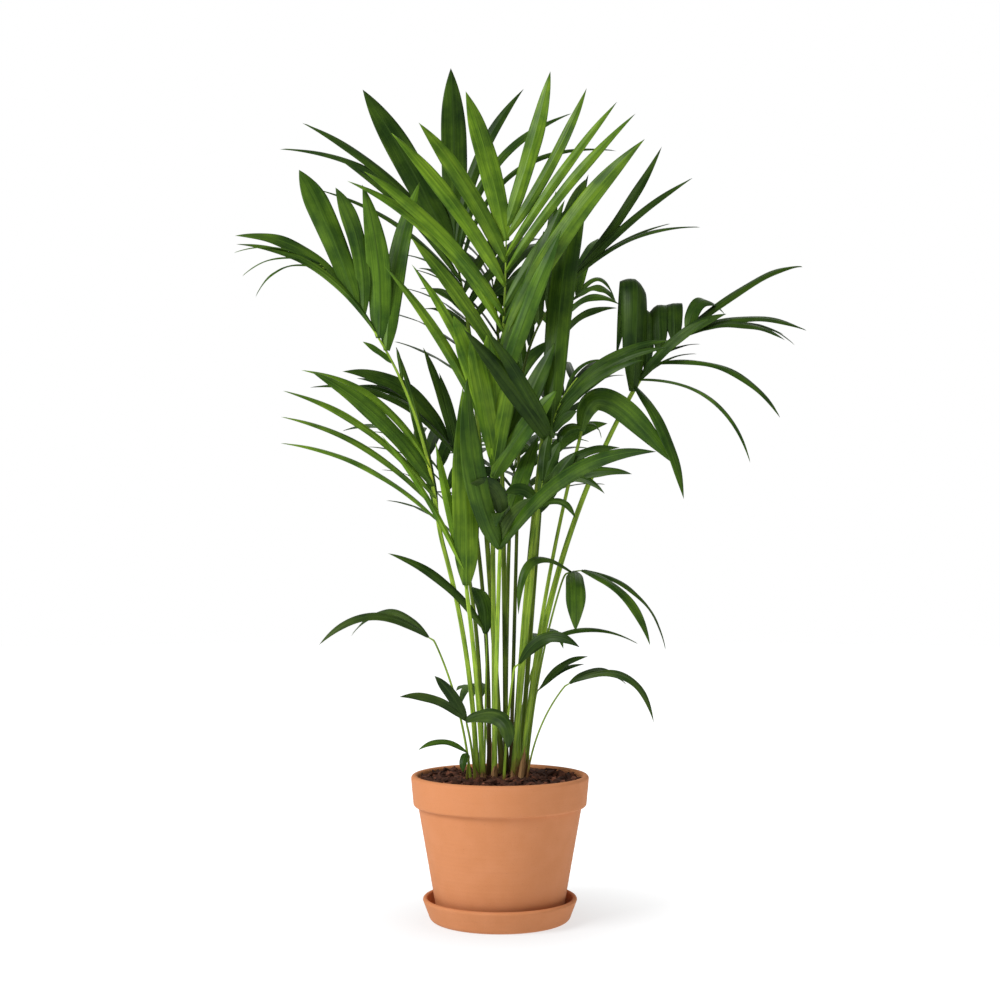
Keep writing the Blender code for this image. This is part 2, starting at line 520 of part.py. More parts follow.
def fan_leaflets(frond):
    """Yield each leaflet of a frond as plain sizes, worked out from its fans."""
    chance = random.Random(frond.name)
    for fan in frond.fans:
        for i in range(fan.count):
            share = i / (fan.count - 1) if fan.count > 1 else 0
            stray = chance.uniform(-1, 1) if frond.turn else 0
            yield (between(fan.at, share), between(fan.heading, share) + HEADING_STRAY * stray,
                   between(fan.lean, share) * (1 + LEAN_STRAY * stray),
                   between(fan.reach, share) * (1 + REACH_STRAY * stray),
                   between(fan.width, share), between(fan.bow, share), fan.face, fan.widest, fan.bend)


def tree_of(solid):
    """Return a search tree over a solid's faces, with its box, all in millimetres."""
    verts, faces = solid
    verts = [vert / MM for vert in verts]
    low = Vector([min(v[k] for v in verts) for k in range(3)])
    high = Vector([max(v[k] for v in verts) for k in range(3)])
    return BVHTree.FromPolygons(verts, faces), low, high


def touches(tree, others):
    """Say whether a solid crosses any of the others."""
    own, low, high = tree
    for other, other_low, other_high in others:
        if all(low[k] <= other_high[k] and high[k] >= other_low[k] for k in range(3)):
            if own.overlap(other):
                return True
    return False


def grow_leaflets():
    """Place every leaflet clear of the stems and the other fronds, and skip what can't be."""
    stems = [tree_of(stem_solid(frond)) for frond in FRONDS]
    placed = {frond.name: [tree_of(rachis_solid(frond))] for frond in FRONDS}
    grown = {}
    for frond in FRONDS:
        others = list(stems)
        for name, trees in placed.items():
            if name != frond.name:
                others += trees
        rachis = rachis_path(frond)
        grown[frond.name] = []
        for at, heading, lean, reach, width, bow, face, widest, bend in fan_leaflets(frond):
            root = rachis(at)
            for change in LEAN_TRIES:
                tip = reach_to(root, frond.turn, heading, lean + change, reach)
                leaflet = (arch(root, tip, bow, bend), frond.turn, width * MM, face, bow, widest)
                if not touches(tree_of(sleeve(leaflet)), others):
                    grown[frond.name].append(leaflet)
                    placed[frond.name].append(tree_of(blade(leaflet)))
                    break
    return grown


def keep_largest_shell(made):
    """Fill any hollow that the union sealed, and drop any loose scrap, by deleting its faces."""
    work = bmesh.new()
    work.from_mesh(made.data)
    bmesh.ops.remove_doubles(work, verts=work.verts, dist=WELD)
    bmesh.ops.dissolve_degenerate(work, edges=work.edges, dist=WELD)
    bmesh.ops.triangulate(work, faces=work.faces)
    left = set(work.faces)
    shells = []
    while left:
        first = left.pop()
        shell, waiting = {first}, [first]
        while waiting:
            for edge in waiting.pop().edges:
                for face in edge.link_faces:
                    if face in left and len(edge.link_faces) == 2:
                        left.discard(face)
                        shell.add(face)
                        waiting.append(face)
        shells.append(shell)
    shells.sort(key=len)
    extra = [face for shell in shells[:-1] for face in shell]
    bmesh.ops.delete(work, geom=extra, context="FACES")
    work.to_mesh(made.data)
    work.free()


def make_frond(frond, leaflets, surface):
    """Make one frond: its rachis with every leaflet joined on."""
    made = new_object("frond_" + frond.name, *rachis_solid(frond), surface)
    parts = bpy.data.collections.new("leaflets")
    for leaflet in leaflets:
        part = new_object("leaflet", *blade(leaflet), surface)
        bpy.context.scene.collection.objects.unlink(part)
        parts.objects.link(part)
    union = made.modifiers.new("Join", "BOOLEAN")
    union.operation = "UNION"
    union.operand_type = "COLLECTION"
    union.solver = "MANIFOLD"
    union.collection = parts
    bpy.context.view_layer.objects.active = made
    bpy.ops.object.modifier_apply(modifier=union.name)
    for part in list(parts.objects):
        bpy.data.objects.remove(part)
    bpy.data.collections.remove(parts)
    keep_largest_shell(made)
    return made


def main():
    """Build the whole plant."""
    for thing in list(bpy.data.objects):
        bpy.data.objects.remove(thing)
    clay = material("terracotta", TERRACOTTA, 0.75)
    make_saucer(clay)
    make_pot(clay)
    make_soil(material("bark_soil", SOIL_COLOUR, 0.95))
    stem_surface = material("stem_green", STEM_COLOUR, 0.45)
    surfaces = {tone: material(tone + "_leaf", TONES[tone], 0.4) for tone in TONES}
    grown = grow_leaflets()
    for frond in FRONDS:
        new_object("stem_" + frond.name, *stem_solid(frond), stem_surface)
        make_frond(frond, grown[frond.name], surfaces[frond.tone])


if __name__ == "__main__":
    main()
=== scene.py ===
"""Looks of the potted kentia palm: fine leaflets, stalks, clay pot and saucer, bark soil, stage."""

import math
import random
from collections import namedtuple

import bpy
import numpy as np
from bpy.props import FloatProperty, FloatVectorProperty, IntProperty, PointerProperty
from mathutils import Euler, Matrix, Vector, noise
from mathutils.bvhtree import BVHTree


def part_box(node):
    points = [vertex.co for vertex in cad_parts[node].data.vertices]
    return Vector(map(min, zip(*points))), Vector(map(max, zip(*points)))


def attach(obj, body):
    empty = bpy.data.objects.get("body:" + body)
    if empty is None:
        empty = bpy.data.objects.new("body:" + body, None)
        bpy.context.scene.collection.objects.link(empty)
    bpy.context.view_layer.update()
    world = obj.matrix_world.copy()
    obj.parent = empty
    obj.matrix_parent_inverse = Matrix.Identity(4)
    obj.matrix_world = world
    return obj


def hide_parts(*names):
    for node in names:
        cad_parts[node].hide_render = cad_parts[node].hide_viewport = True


bl_info = {
    "name": "Potted Kentia Palm",
    "version": (1, 0, 0),
    "blender": (4, 5, 0),
    "location": "View3D > Sidebar > Palm",
    "description": "Dresses a potted palm with leaflets, stalks, clay and bark",
    "category": "Add Mesh",
}

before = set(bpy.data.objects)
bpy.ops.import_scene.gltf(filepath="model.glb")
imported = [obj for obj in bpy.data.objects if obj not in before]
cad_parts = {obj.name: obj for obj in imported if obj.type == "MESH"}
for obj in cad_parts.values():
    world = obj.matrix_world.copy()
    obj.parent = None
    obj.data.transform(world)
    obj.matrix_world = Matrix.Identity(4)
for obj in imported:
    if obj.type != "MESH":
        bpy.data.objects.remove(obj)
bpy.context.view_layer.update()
BODY = "root"

MM = 0.001
GAP = 0.3 * MM
SOIL_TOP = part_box("soil")[1][2]

# Clay, written again as the solids have it.
SAUCER_BASE_RADIUS = 99 * MM
SAUCER_WALL = 7.5 * MM
SAUCER_FLOOR = 9 * MM
SAUCER_CORNER = 9 * MM
SAUCER_FILLET = 4 * MM
POT_BASE_RADIUS = 94 * MM
POT_NECK_RADIUS = 124 * MM
POT_BAND_RADIUS = 131.5 * MM
POT_BAND_HEIGHT = 47 * MM
POT_WALL = 10.5 * MM
POT_FLOOR = 11 * MM
POT_SHOULDER = 6 * MM
DRAIN_RADIUS = 11 * MM
THROW_STEP = 2.2 * MM
THROW_PITCH = 6.5 * MM

# The growth rule, written again as the solids have it.
STEM_SIDES = 5
STEM_SPANS = 4
RACHIS_SIDES = 5
LEAD = 11 * MM
STRAIGHT_START = 0.6 * LEAD
RACHIS_TIP_RADIUS = 1.3 * MM
RACHIS_STRAY = 1.2 * MM
BEND_AT = 0.54
LEAF_ROOT = 0.28
LEAF_SHOULDER = 0.88
LEAF_SHOULDER_AT = 0.42
LEAF_TAPER = 2.2
LEAF_THICKNESS = 0.0125
LEAF_LEAST_THICKNESS = 1.4 * MM
LEAF_THINNING = 0.6
END_ON = 0.3
LENGTH_STEPS = 8
MOST_BENT = 0.3
BENT = 0.15
BROAD = 34 * MM
TIP_TWIST = 18
BENT_TWIST = 60
LONG_BLADE = 150 * MM
CLEARANCE = 1.3 * MM
FAR_SIDE_DROP = 0.035
HEADING_STRAY = 5
LEAN_STRAY = 0.12
REACH_STRAY = 0.08
LEAN_TRIES = (0, .1, -.1, .2, -.2, .32, -.32, .45, -.45, .6, -.6, .8, -.8)

# A frond's own upright plane is turned about the vertical by `turn`, and 0 faces the front.
# A heading is an angle in that plane from straight up. A lean is how far a blade comes out
# of the plane towards the front, as a share of its reach. A bow is how far the middle of an
# arch stands above its chord. `face` turns a blade from flat to the plane, 0, to flat up, 90.
# `widest` and `bend` are how far along a blade is at its widest, and how far along it bends.
Frond = namedtuple("Frond", "name tone turn foot crown bow radii rachis fans")
Fan = namedtuple("Fan", "count at heading lean reach width bow face widest bend",
                 defaults=(.54, .54))


def both_sides(count, at, heading, lean, reach, width, bow, face):
    """Return a fan and its mirror image on the other side of the rachis, a little lower down."""
    far_at = (at[0] - FAR_SIDE_DROP, at[1] - FAR_SIDE_DROP)
    far_lean = (-lean[0], -lean[1])
    return [Fan(count, at, heading, lean, reach, width, bow, face),
            Fan(count, far_at, heading, far_lean, reach, width, bow, face)]


# foot (x, y), crown (x, y, z), stem bow, radii at foot and crown, rachis (heading, lean,
# reach, bow), and fans of leaflets, each given by its first and its last leaflet.
FRONDS = [
    Frond("left", "mid", 0, (-35, -6), (-92, -25, 589), .035, (5, 4.2), (-24, .05, 435, .095), [
        Fan(3, (.03, .1), (-64, -55), (.5, .35), (244, 264), (9, 12), (.085, .09), 35),
        Fan(2, (.14, .2), (-47, -53), (.25, .1), (242, 238), (27, 13), (.075, .13), 35),
        Fan(2, (.06, .2), (-14, -16), (-.3, -.2), (205, 195), (17, 9), (.02, .02), 50),
        Fan(2, (.5, .57), (-10, -55), (-.1, .1), (54, 56), (6, 10), (.03, .03), 20),
        Fan(2, (.67, .62), (-6, 10), (.1, -.2), (226, 272), (36, 32), (.06, .05), 5, .4),
        Fan(2, (.81, .77), (-23, -12), (.0, .15), (220, 187), (37, 26), (.03, .09), 5, .7),
        Fan(2, (.86, .7), (-63, -59), (.05, .2), (187, 233), (21, 12), (.14, .14), 30),
        Fan(3, (1, .97), (-87, -118), (.4, .55), (120, 108), (6, 7), (.12, .2), 60)]),
    Frond("front_blade", "bright", 0, (-25, -22), (-49, -70, 498), .02, (4.8, 3.8), (-2, .0, 38, .0), [
        Fan(1, (.25, .25), (-1, -1), (.1, .1), (288, 288), (40, 40), (.02, .02), 0, .4),
        Fan(1, (.1, .1), (-12, -12), (.0, .0), (222, 222), (14, 14), (.0, .0), 20),
        Fan(1, (.6, .6), (-31, -31), (.1, .1), (240, 240), (9, 9), (.04, .04), 30)]),
    Frond("centre", "bright", 0, (-8, -6), (-12, -35, 661), .01, (5, 4.2), (3, -.04, 417, -.015), [
        Fan(2, (.12, .19), (-32, -28), (.25, .15), (304, 268), (16, 15), (.05, .04), 15),
        Fan(2, (.14, .08), (-19, -11), (.3, .3), (190, 180), (36, 31), (.03, .02), 0, .6),
        Fan(2, (.06, .05), (-3, 11), (.2, .2), (190, 135), (32, 31), (.02, .02), 0, .62),
        Fan(2, (.42, .53), (-37, -47), (.2, .15), (222, 315), (22, 17), (.03, .1), 10),
        Fan(2, (.59, .7), (-46, -38), (.25, .2), (286, 273), (21, 24), (.06, .04), 10),
        Fan(2, (.79, .87), (-33, -15.5), (.15, .1), (238, 227), (27, 33), (.04, .02), 5),
        Fan(1, (.92, .92), (16, 16), (.1, .1), (238, 238), (25, 25), (-.02, -.02), 5),
        Fan(1, (.88, .88), (29, 29), (.15, .15), (246, 246), (18, 18), (-.03, -.03), 10),
        Fan(2, (.81, .75), (37, 41), (.2, .25), (272, 289), (15, 16), (.02, .035), 10),
        Fan(2, (.62, .56), (35, 36), (.1, .15), (195, 267), (20, 17), (.03, .03), 15),
        Fan(1, (.48, .48), (36, 36), (.3, .3), (348, 348), (31, 31), (.06, .06), 5),
        Fan(2, (.36, .30), (20, 21), (.1, .2), (279, 254), (27, 26), (.02, .02), 5),
        Fan(2, (.02, .01), (25, 36), (.0, .1), (222, 165), (31, 30), (.0, .03), 5)]),
    Frond("front_low", "mid", 0, (-9, -21), (0, -85, 557), .02, (4.8, 3.6), (4, .1, 50, .0), [
        Fan(1, (.1, .1), (-11, -11), (.15, .15), (250, 250), (34.1, 34.1), (-.08, -.08), 0, .5, .4),
        Fan(1, (.9, .9), (-41, -41), (.5, .5), (70, 70), (25, 25), (.3, .3), 30),
        Fan(1, (.3, .3), (-20, -20), (2.2, 2.2), (20, 20), (30, 30), (.85, .85), 15),
        Fan(2, (.3, .1), (47, 59), (.7, .95), (80, 240), (25, 22), (.15, .12), 30),
        Fan(1, (.2, .2), (19, 19), (-.5, -.5), (177, 177), (26, 26), (.02, .02), 5)]),
    Frond("front_right", "dark", 0, (18, -24), (56, -55, 609), .0, (4.6, 4), (8, .0, 60, .0), [
        Fan(3, (.9, .1), (8, 32), (-.1, .1), (70, 105), (18, 25), (.04, .04), 15),
        Fan(1, (.3, .3), (-74, -74), (.5, .5), (54, 54), (20, 20), (.22, .22), 40),
        Fan(2, (.85, .55), (66, 79), (.1, .6), (125, 131), (17, 19), (.12, .1), 35),
        Fan(2, (.4, .2), (86, 107), (.7, .9), (92, 54), (13, 12), (.25, .25), 45)]),
    Frond("right_inner", "dark", 0, (27, -10), (75, -35, 722), .03, (5.4, 4), (23, .0, 105, .08), [
        Fan(2, (.0, .06), (-40, -33), (.5, .42), (196, 168), (28, 23), (.02, .02), 8, .4),
        Fan(1, (.05, .05), (8, 8), (-.12, -.12), (415, 415), (41, 41), (.063, .063), 5, .54, .78),
        Fan(2, (.55, .4), (61, 61), (.1, .3), (188, 186), (15, 15), (.12, .11), 35),
        Fan(2, (.3, .2), (58, 51), (.5, .4), (150, 130), (14, 15), (.1, .1), 35),
        Fan(1, (.7, .7), (50, 50), (-.3, -.3), (84, 84), (6, 6), (.2, .2), 30),
        Fan(1, (.12, .12), (51, 51), (.5, .5), (48, 48), (16, 16), (.08, .08), 30)]),
    Frond("right_arch", "dark", 0, (34, 5), (200, 0, 798), .055, (6.8, 4.2), (57, .0, 196, .16), [
        Fan(1, (.05, .05), (161, 161), (.6, .6), (186, 186), (18, 18), (.08, .08), 45),
        Fan(2, (.1, .23), (131, 115), (.5, .3), (202, 206), (8, 15), (.18, .165), 45, .7),
        Fan(1, (.02, .02), (-13, -13), (-1.9, -1.9), (70, 70), (42, 42), (.92, .92), 20, .35),
        Fan(3, (.19, .48), (-3, 8), (-2.5, -2.3), (38, 38), (28, 28), (.72, .46), 20, .4),
        Fan(1, (.6, .6), (60, 60), (-.7, -.7), (75, 75), (24, 24), (.38, .38), 35),
        Fan(1, (.38, .38), (58, 58), (-.3, -.3), (267, 267), (14, 14), (.065, .065), 35, .5, .8),
        Fan(2, (.1, .35), (50, 60), (.5, .15), (130, 112), (18, 18), (.07, .07), 30),
        Fan(2, (.55, .64), (88, 98), (.1, .3), (186, 135), (19, 16), (.12, .12), 45),
        Fan(2, (.76, .9), (94, 107), (-.2, .0), (122, 110), (10, 9), (.1, .12), 50),
        Fan(2, (.08, .2), (62, 64), (-.5, -.4), (110, 95), (6, 6), (.1, .1), 50)]),
    Frond("right_small", "mid", 0, (31, -23), (122, -18, 735), .02, (4.2, 3.2), (8, .1, 22, .0), [
        Fan(1, (.2, .2), (111, 111), (.4, .4), (142, 142), (36, 36), (.38, .38), 15, .66, -.2),
        Fan(1, (.5, .5), (-131, -131), (.2, .2), (46, 46), (15, 15), (.3, .3), 40),
        Fan(1, (.6, .6), (123, 123), (-.3, -.3), (35, 35), (12, 12), (.3, .3), 40)]),
    Frond("back_right_high", "dark", 0, (16, 3), (32, 60, 820), .0, (3.8, 3.2), (27, .0, 185, .09), [
        Fan(2, (.95, .9), (34, 50), (.0, .1), (256, 254), (17, 13), (-.03, .045), 20),
        Fan(2, (.92, .88), (60, 68), (.1, .25), (183, 221), (8, 8), (.08, .12), 40),
        Fan(2, (.8, .65), (14, 4), (-.1, -.1), (200, 190), (15, 18), (.02, .02), 10),
        Fan(3, (.12, .5), (-10, 3), (-.3, -.1), (120, 150), (20, 18), (.03, .03), 10)]),
    Frond("back_right", "dark", 0, (20, 20), (86, 120, 880), .02, (4.8, 3.8), (22, -.9, 120, .08), [
        Fan(1, (1, 1), (94, 94), (-.1, -.1), (60, 60), (13, 13), (.45, .45), 50),
        Fan(3, (.82, .1), (98, 62), (.3, .2), (70, 110), (17, 16), (.3, .15), 50),
        Fan(3, (.95, .2), (20, -60), (-.7, -.3), (120, 150), (21, 17), (.1, .15), 40)]),
    Frond("back_high", "dark", 0, (3, 13), (-46, 95, 882), .01, (5.4, 4.6), (-10, -.1, 168, .02), [
        Fan(2, (.95, .88), (-1, -29.5), (.0, .1), (290, 295), (42, 43), (.01, .02), 0, .6),
        Fan(2, (.82, .74), (-48, -56), (.0, .0), (331, 343), (18, 13), (.075, .15), 30),
        Fan(2, (.62, .57), (-45, -56), (.0, .0), (278, 274), (15, 9), (.065, .085), 30),
        Fan(3, (.9, .7), (22.5, 52), (.0, .0), (286, 317), (20, 9), (.08, .23), 25),
        Fan(3, (.45, .15), (-50, -60), (-.8, -.7), (100, 90), (17, 16), (.1, .12), 40),
        Fan(3, (.5, .2), (30, 48), (-.6, -.5), (180, 160), (17, 16), (.05, .08), 30)]),
    Frond("back_left", "dark", 0, (-17, 11), (-48, 55, 664), .04, (4.2, 3.6), (-39, -.2, 149, .1), [
        Fan(2, (.45, .3), (-56, -66), (.1, .3), (197, 240), (27, 11), (.16, .15), 40),
        Fan(3, (.9, .6), (-58, -68), (-.1, .2), (115, 145), (13, 11), (.12, .15), 45),
        Fan(2, (.3, .15), (-17, -14), (-.05, .0), (178, 155), (15, 12), (.03, .02), 30),
        Fan(2, (.8, .5), (-45, -36), (-.7, -.5), (80, 92), (18, 16), (.1, .1), 40)]),
    Frond("seedling_left", "mid", 0, (-44, -15), (-98, -45, 425), .045, (2.4, 1.8), (-60, .0, 14, .0), [
        Fan(1, (.9, .9), (-94, -94), (.3, .3), (156, 156), (16, 16), (.22, .22), 45),
        Fan(1, (.7, .7), (-90, -90), (-.3, -.3), (119, 119), (14, 14), (.3, .3), 45)]),
    Frond("seedling_leaf", "dark", 0, (-24, -9), (-20, -8, 426), .0, (2.2, 1.7), (-15, .0, 16, .0), [
        Fan(1, (.9, .9), (-51, -51), (.1, .1), (183, 183), (14, 14), (.09, .09), 30),
        Fan(1, (.5, .5), (-17, -17), (-.6, -.6), (74, 74), (24, 24), (.22, .22), 20)]),
    Frond("seedling_fan", "mid", 0, (-37, -29), (-49, -55, 300), .04, (2.6, 2), (-10, .2, 12, .0), [
        Fan(2, (.9, .6), (-36, -69), (.1, .3), (78, 104), (18, 14), (.04, .12), 30),
        Fan(1, (.8, .8), (86, 86), (.5, .5), (66, 66), (17, 17), (.11, .11), 45),
        Fan(1, (.5, .5), (119, 119), (.9, .9), (70, 70), (22, 22), (.34, .34), 35, .7, .88)]),
    Frond("seedling_low", "mid", 0, (-50, -28), (-46, -48, 253), .03, (2.1, 1.7), (-30, .1, 8, .0), [
        Fan(1, (.9, .9), (-85, -85), (.4, .4), (71, 71), (10, 10), (.18, .18), 45),
        Fan(1, (.6, .6), (-167, -167), (.8, .8), (27, 27), (12, 12), (.3, .3), 45)]),
    Frond("seedling_right", "mid", 0, (40, -27), (97, -30, 356), .07, (1.8, 1.5), (60, .0, 12, .0), [
        Fan(1, (.9, .9), (115, 115), (.3, .3), (133, 133), (14, 14), (.31, .31), 45),
        Fan(1, (.7, .7), (93, 93), (-.3, -.3), (88, 88), (15, 15), (.22, .22), 45)]),
    Frond("seedling_twin", "dark", 0, (33, 22), (57, 30, 344), .02, (2, 1.6), (50, .0, 10, .0), [
        Fan(2, (.9, .5), (56, 63), (.1, -.4), (86, 80), (11, 9), (.12, .1), 40)]),
    Frond("seedling_middle", "dark", 0, (6, -33), (21, -50, 385), .02, (2.6, 2), (50, .0, 12, .0), [
        Fan(1, (.9, .9), (74, 74), (.4, .4), (91, 91), (18, 18), (.27, .27), 45),
        Fan(1, (.7, .7), (81, 81), (-.1, -.1), (182, 182), (9, 9), (.19, .19), 45)]),
    Frond("seedling_droop", "mid", 0, (39, -16), (97, -15, 524), .03, (2.2, 1.8), (80, .0, 32, .05), [
        Fan(1, (.45, .45), (180, 180), (.6, .6), (88, 88), (30, 30), (.3, .3), 20),
        Fan(1, (.3, .3), (-128, -128), (.3, .3), (101, 101), (14, 14), (.42, .42), 45),
        Fan(2, (.85, .95), (139, 134), (.5, -.2), (146, 176), (16, 13), (.14, .17), 45)]),
    Frond("rear_left", "dark", 117, (-29, 22), (-52, 70, 540), .06, (4.4, 3.6), (46, .0, 285, .14),
          both_sides(6, (.1, .97), (28, 70), (1.3, .5), (88, 135), (27, 19), (.13, .12), 70)),
    Frond("rear_right", "dark", 66, (30, 34), (62, 84, 612), .0, (5, 4), (34, .0, 290, .14),
          both_sides(6, (.1, .97), (24, 66), (1.4, .5), (64, 118), (22, 18), (.13, .12), 70)),
    Frond("rear_high", "dark", 98, (9, 26), (2, 104, 740), .03, (5.2, 4.4), (27, .0, 350, .13),
          both_sides(8, (.1, .97), (12, 58), (1.3, .45), (130, 160), (28, 20), (.10, .11), 65)),
    Frond("rear_arch", "dark", 84, (8, 40), (14, 122, 560), .05, (5, 3.8), (52, .0, 290, .18),
          both_sides(7, (.1, .97), (40, 86), (1.5, .5), (100, 130), (26, 18), (.14, .13), 75)),
    Frond("rear_seedling", "mid", 75, (19, 46), (60, 94, 398), .05, (2.6, 2), (40, .0, 30, .05),
          both_sides(2, (.6, .95), (85, 100), (.4, .15), (60, 96), (17, 15), (.2, .24), 70)),
    Frond("rear_leaf", "mid", 105, (-14, 28), (-28, 84, 318), .05, (2.6, 2), (45, .0, 24, .05),
          both_sides(2, (.6, .95), (80, 104), (.35, .1), (60, 92), (17, 15), (.2, .24), 70)),
]


def between(pair, share):
    """Return the value at a share of the way from the first to the second of a pair."""
    return pair[0] + (pair[1] - pair[0]) * share


def arch(start, end, bow, bend=BEND_AT):
    """Return a path for a limb that rises above its chord by a share of it, most near the bend."""
    chord = end - start
    along = chord.normalized()
    above = Vector((0, 0, 1)) - along * along.z
    if above.length < 0.01:
        above = Vector((1, 0, 0))
    top = start + chord * bend + above.normalized() * (2 * bow * chord.length)

    def point(t):
        return start * (1 - t) ** 2 + top * (2 * t * (1 - t)) + end * t ** 2
    return point


def slope(path, t):
    """Return the unit direction of a path at t."""
    return (path(min(1, t + 0.01)) - path(max(0, t - 0.01))).normalized()


def plane_axes(turn):
    """Return the level and the outward axis of a frond's upright plane."""
    angle = math.radians(turn)
    level = Vector((math.cos(angle), math.sin(angle), 0))
    outward = Vector((math.sin(angle), -math.cos(angle), 0))
    return level, outward


def reach_to(start, turn, heading, lean, reach):
    """Return the far end of a limb that leaves start with the given heading, lean and reach."""
    level, outward = plane_axes(turn)
    angle = math.radians(heading)
    step = level * math.sin(angle) + Vector((0, 0, 1)) * math.cos(angle) + outward * lean
    return start + step * (reach * MM)


def quad(a, b, c, d):
    """Return a four-sided face as two triangles, so that it is split the same way everywhere."""
    return [(a, b, c), (a, c, d)]


def tube(points, radii, sides):
    """Return the points and faces of a tapered tube with flat ends."""
    verts, faces = [], []
    side = Vector((0, 1, 0))
    for i, (centre, radius) in enumerate(zip(points, radii)):
        along = (points[min(i + 1, len(points) - 1)] - points[max(i - 1, 0)]).normalized()
        side = (side - along * side.dot(along)).normalized()
        across = along.cross(side)
        for j in range(sides):
            angle = math.tau * j / sides
            verts.append(centre + (side * math.cos(angle) + across * math.sin(angle)) * radius)
    for i in range(len(points) - 1):
        for j in range(sides):
            a, b = i * sides + j, i * sides + (j + 1) % sides
            faces += quad(a, b, b + sides, a + sides)
    faces.append(tuple(range(sides))[::-1])
    faces.append(tuple(range((len(points) - 1) * sides, len(points) * sides)))
    return verts, faces


def leaf_share(t, widest):
    """Return a leaflet's width at t as a share of its greatest width."""
    shoulder = LEAF_SHOULDER_AT * widest
    if t < shoulder:
        return LEAF_ROOT + (LEAF_SHOULDER - LEAF_ROOT) * math.sin(math.pi / 2 * t / shoulder)
    if t < widest:
        return 1 - (1 - LEAF_SHOULDER) * ((widest - t) / (widest - shoulder)) ** 2
    return 1 - ((t - widest) / (1 - widest)) ** LEAF_TAPER


def path_length(path):
    """Return the length of a path, measured in a few straight steps."""
    marks = [path(i / LENGTH_STEPS) for i in range(LENGTH_STEPS + 1)]
    return sum((far - near).length for near, far in zip(marks, marks[1:]))


def stations(leaflet, shares):
    """Yield stations along a leaflet: centre, direction across, direction above, half width, rise."""
    path, turn, width, face, bow, widest = leaflet
    level, outward = plane_axes(turn)
    angle = math.radians(face)
    front = outward * math.cos(angle) + Vector((0, 0, 1)) * math.sin(angle)
    across = slope(path, 0).cross(front)
    if across.length < END_ON:
        across = slope(path, 0).cross(front + level / 2)
    length = path_length(path)
    height = max(length * LEAF_THICKNESS, LEAF_LEAST_THICKNESS)
    twist = math.radians(TIP_TWIST)
    if length > LONG_BLADE:
        twist += math.radians(BENT_TWIST) * max(0, bow - MOST_BENT)
    if (path(1) - path(0)).dot(level) < 0:
        twist = -twist
    for t in shares:
        along = slope(path, t)
        across = (across - along * across.dot(along)).normalized()
        above = across.cross(along)
        side = across * math.cos(twist * t) + above * math.sin(twist * t)
        rise = height * (1 - LEAF_THINNING * t)
        yield path(t), side, side.cross(along), width / 2 * leaf_share(t, widest), rise


def blade_rings(leaflet):
    """Yield the stations that a leaflet's solid has, more of them on a long or bent one."""
    path, turn, width, face, bow, widest = leaflet
    rings = 8 if bow > MOST_BENT else 6 if bow > BENT else 5 if width > BROAD else 4
    return stations(leaflet, [i / rings for i in range(rings)])


def blade(leaflet):
    """Return the points and faces of one leaflet: a thin ridged blade with a pointed tip."""
    verts, faces = [], [(0, 1, 2)]
    for centre, across, above, half, rise in blade_rings(leaflet):
        verts += [centre - across * half, centre + across * half, centre + above * rise]
    last, tip = len(verts) - 3, len(verts)
    verts.append(leaflet[0](1))
    for start in range(0, last, 3):
        for j in range(3):
            a, b = start + j, start + (j + 1) % 3
            faces += quad(b, a, a + 3, b + 3)
    for j in range(3):
        faces.append((last + (j + 1) % 3, last + j, tip))
    return verts, faces


def sleeve(leaflet):
    """Return the points and faces of the room a leaflet needs: its blade with a clear margin."""
    verts = []
    for centre, across, above, half, rise in blade_rings(leaflet):
        side = across * (half + CLEARANCE)
        low, high = above * -CLEARANCE, above * (rise + CLEARANCE)
        verts += [centre - side + low, centre + side + low, centre + side + high, centre - side + high]
    side = across * CLEARANCE
    centre = leaflet[0](1)
    verts += [centre - side + low, centre + side + low, centre + side - low, centre - side - low]
    faces = [(0, 1, 2, 3)]
    for start in range(0, len(verts) - 4, 4):
        for j in range(4):
            a, b = start + j, start + (j + 1) % 4
            faces += quad(b, a, a + 4, b + 4)
    end = len(verts) - 4
    faces.append((end + 3, end + 2, end + 1, end))
    return verts, faces


def stem_path(frond):
    """Return the path of a frond's stem, from its foot on the soil to its crown."""
    foot = Vector((frond.foot[0] * MM, frond.foot[1] * MM, SOIL_TOP + GAP))
    crown = Vector(frond.crown) * MM
    return arch(foot, crown, frond.bow)


def stem_points(frond):
    """Return the points and radii of a stem, which ends just under the crown."""
    path = stem_path(frond)
    length = (path(1) - path(0)).length
    end = 1 - LEAD / length
    shares = [end * i / STEM_SPANS for i in range(STEM_SPANS + 1)]
    points = [path(t) for t in shares]
    points[0] = Vector((points[0].x, points[0].y, SOIL_TOP + GAP))
    radii = [between(frond.radii, t) * MM for t in shares]
    return points, radii


def stem_solid(frond):
    """Return a stem's points and faces, with its foot cut flat."""
    points, radii = stem_points(frond)
    verts, faces = tube(points, radii, STEM_SIDES)
    for vert in verts[:STEM_SIDES]:
        vert.z = SOIL_TOP + GAP
    return verts, faces


def rachis_path(frond):
    """Return the path of a frond's rachis, from its crown to its tip."""
    crown = Vector(frond.crown) * MM
    heading, lean, reach, bow = frond.rachis
    return arch(crown, reach_to(crown, frond.turn, heading, lean, reach), bow)


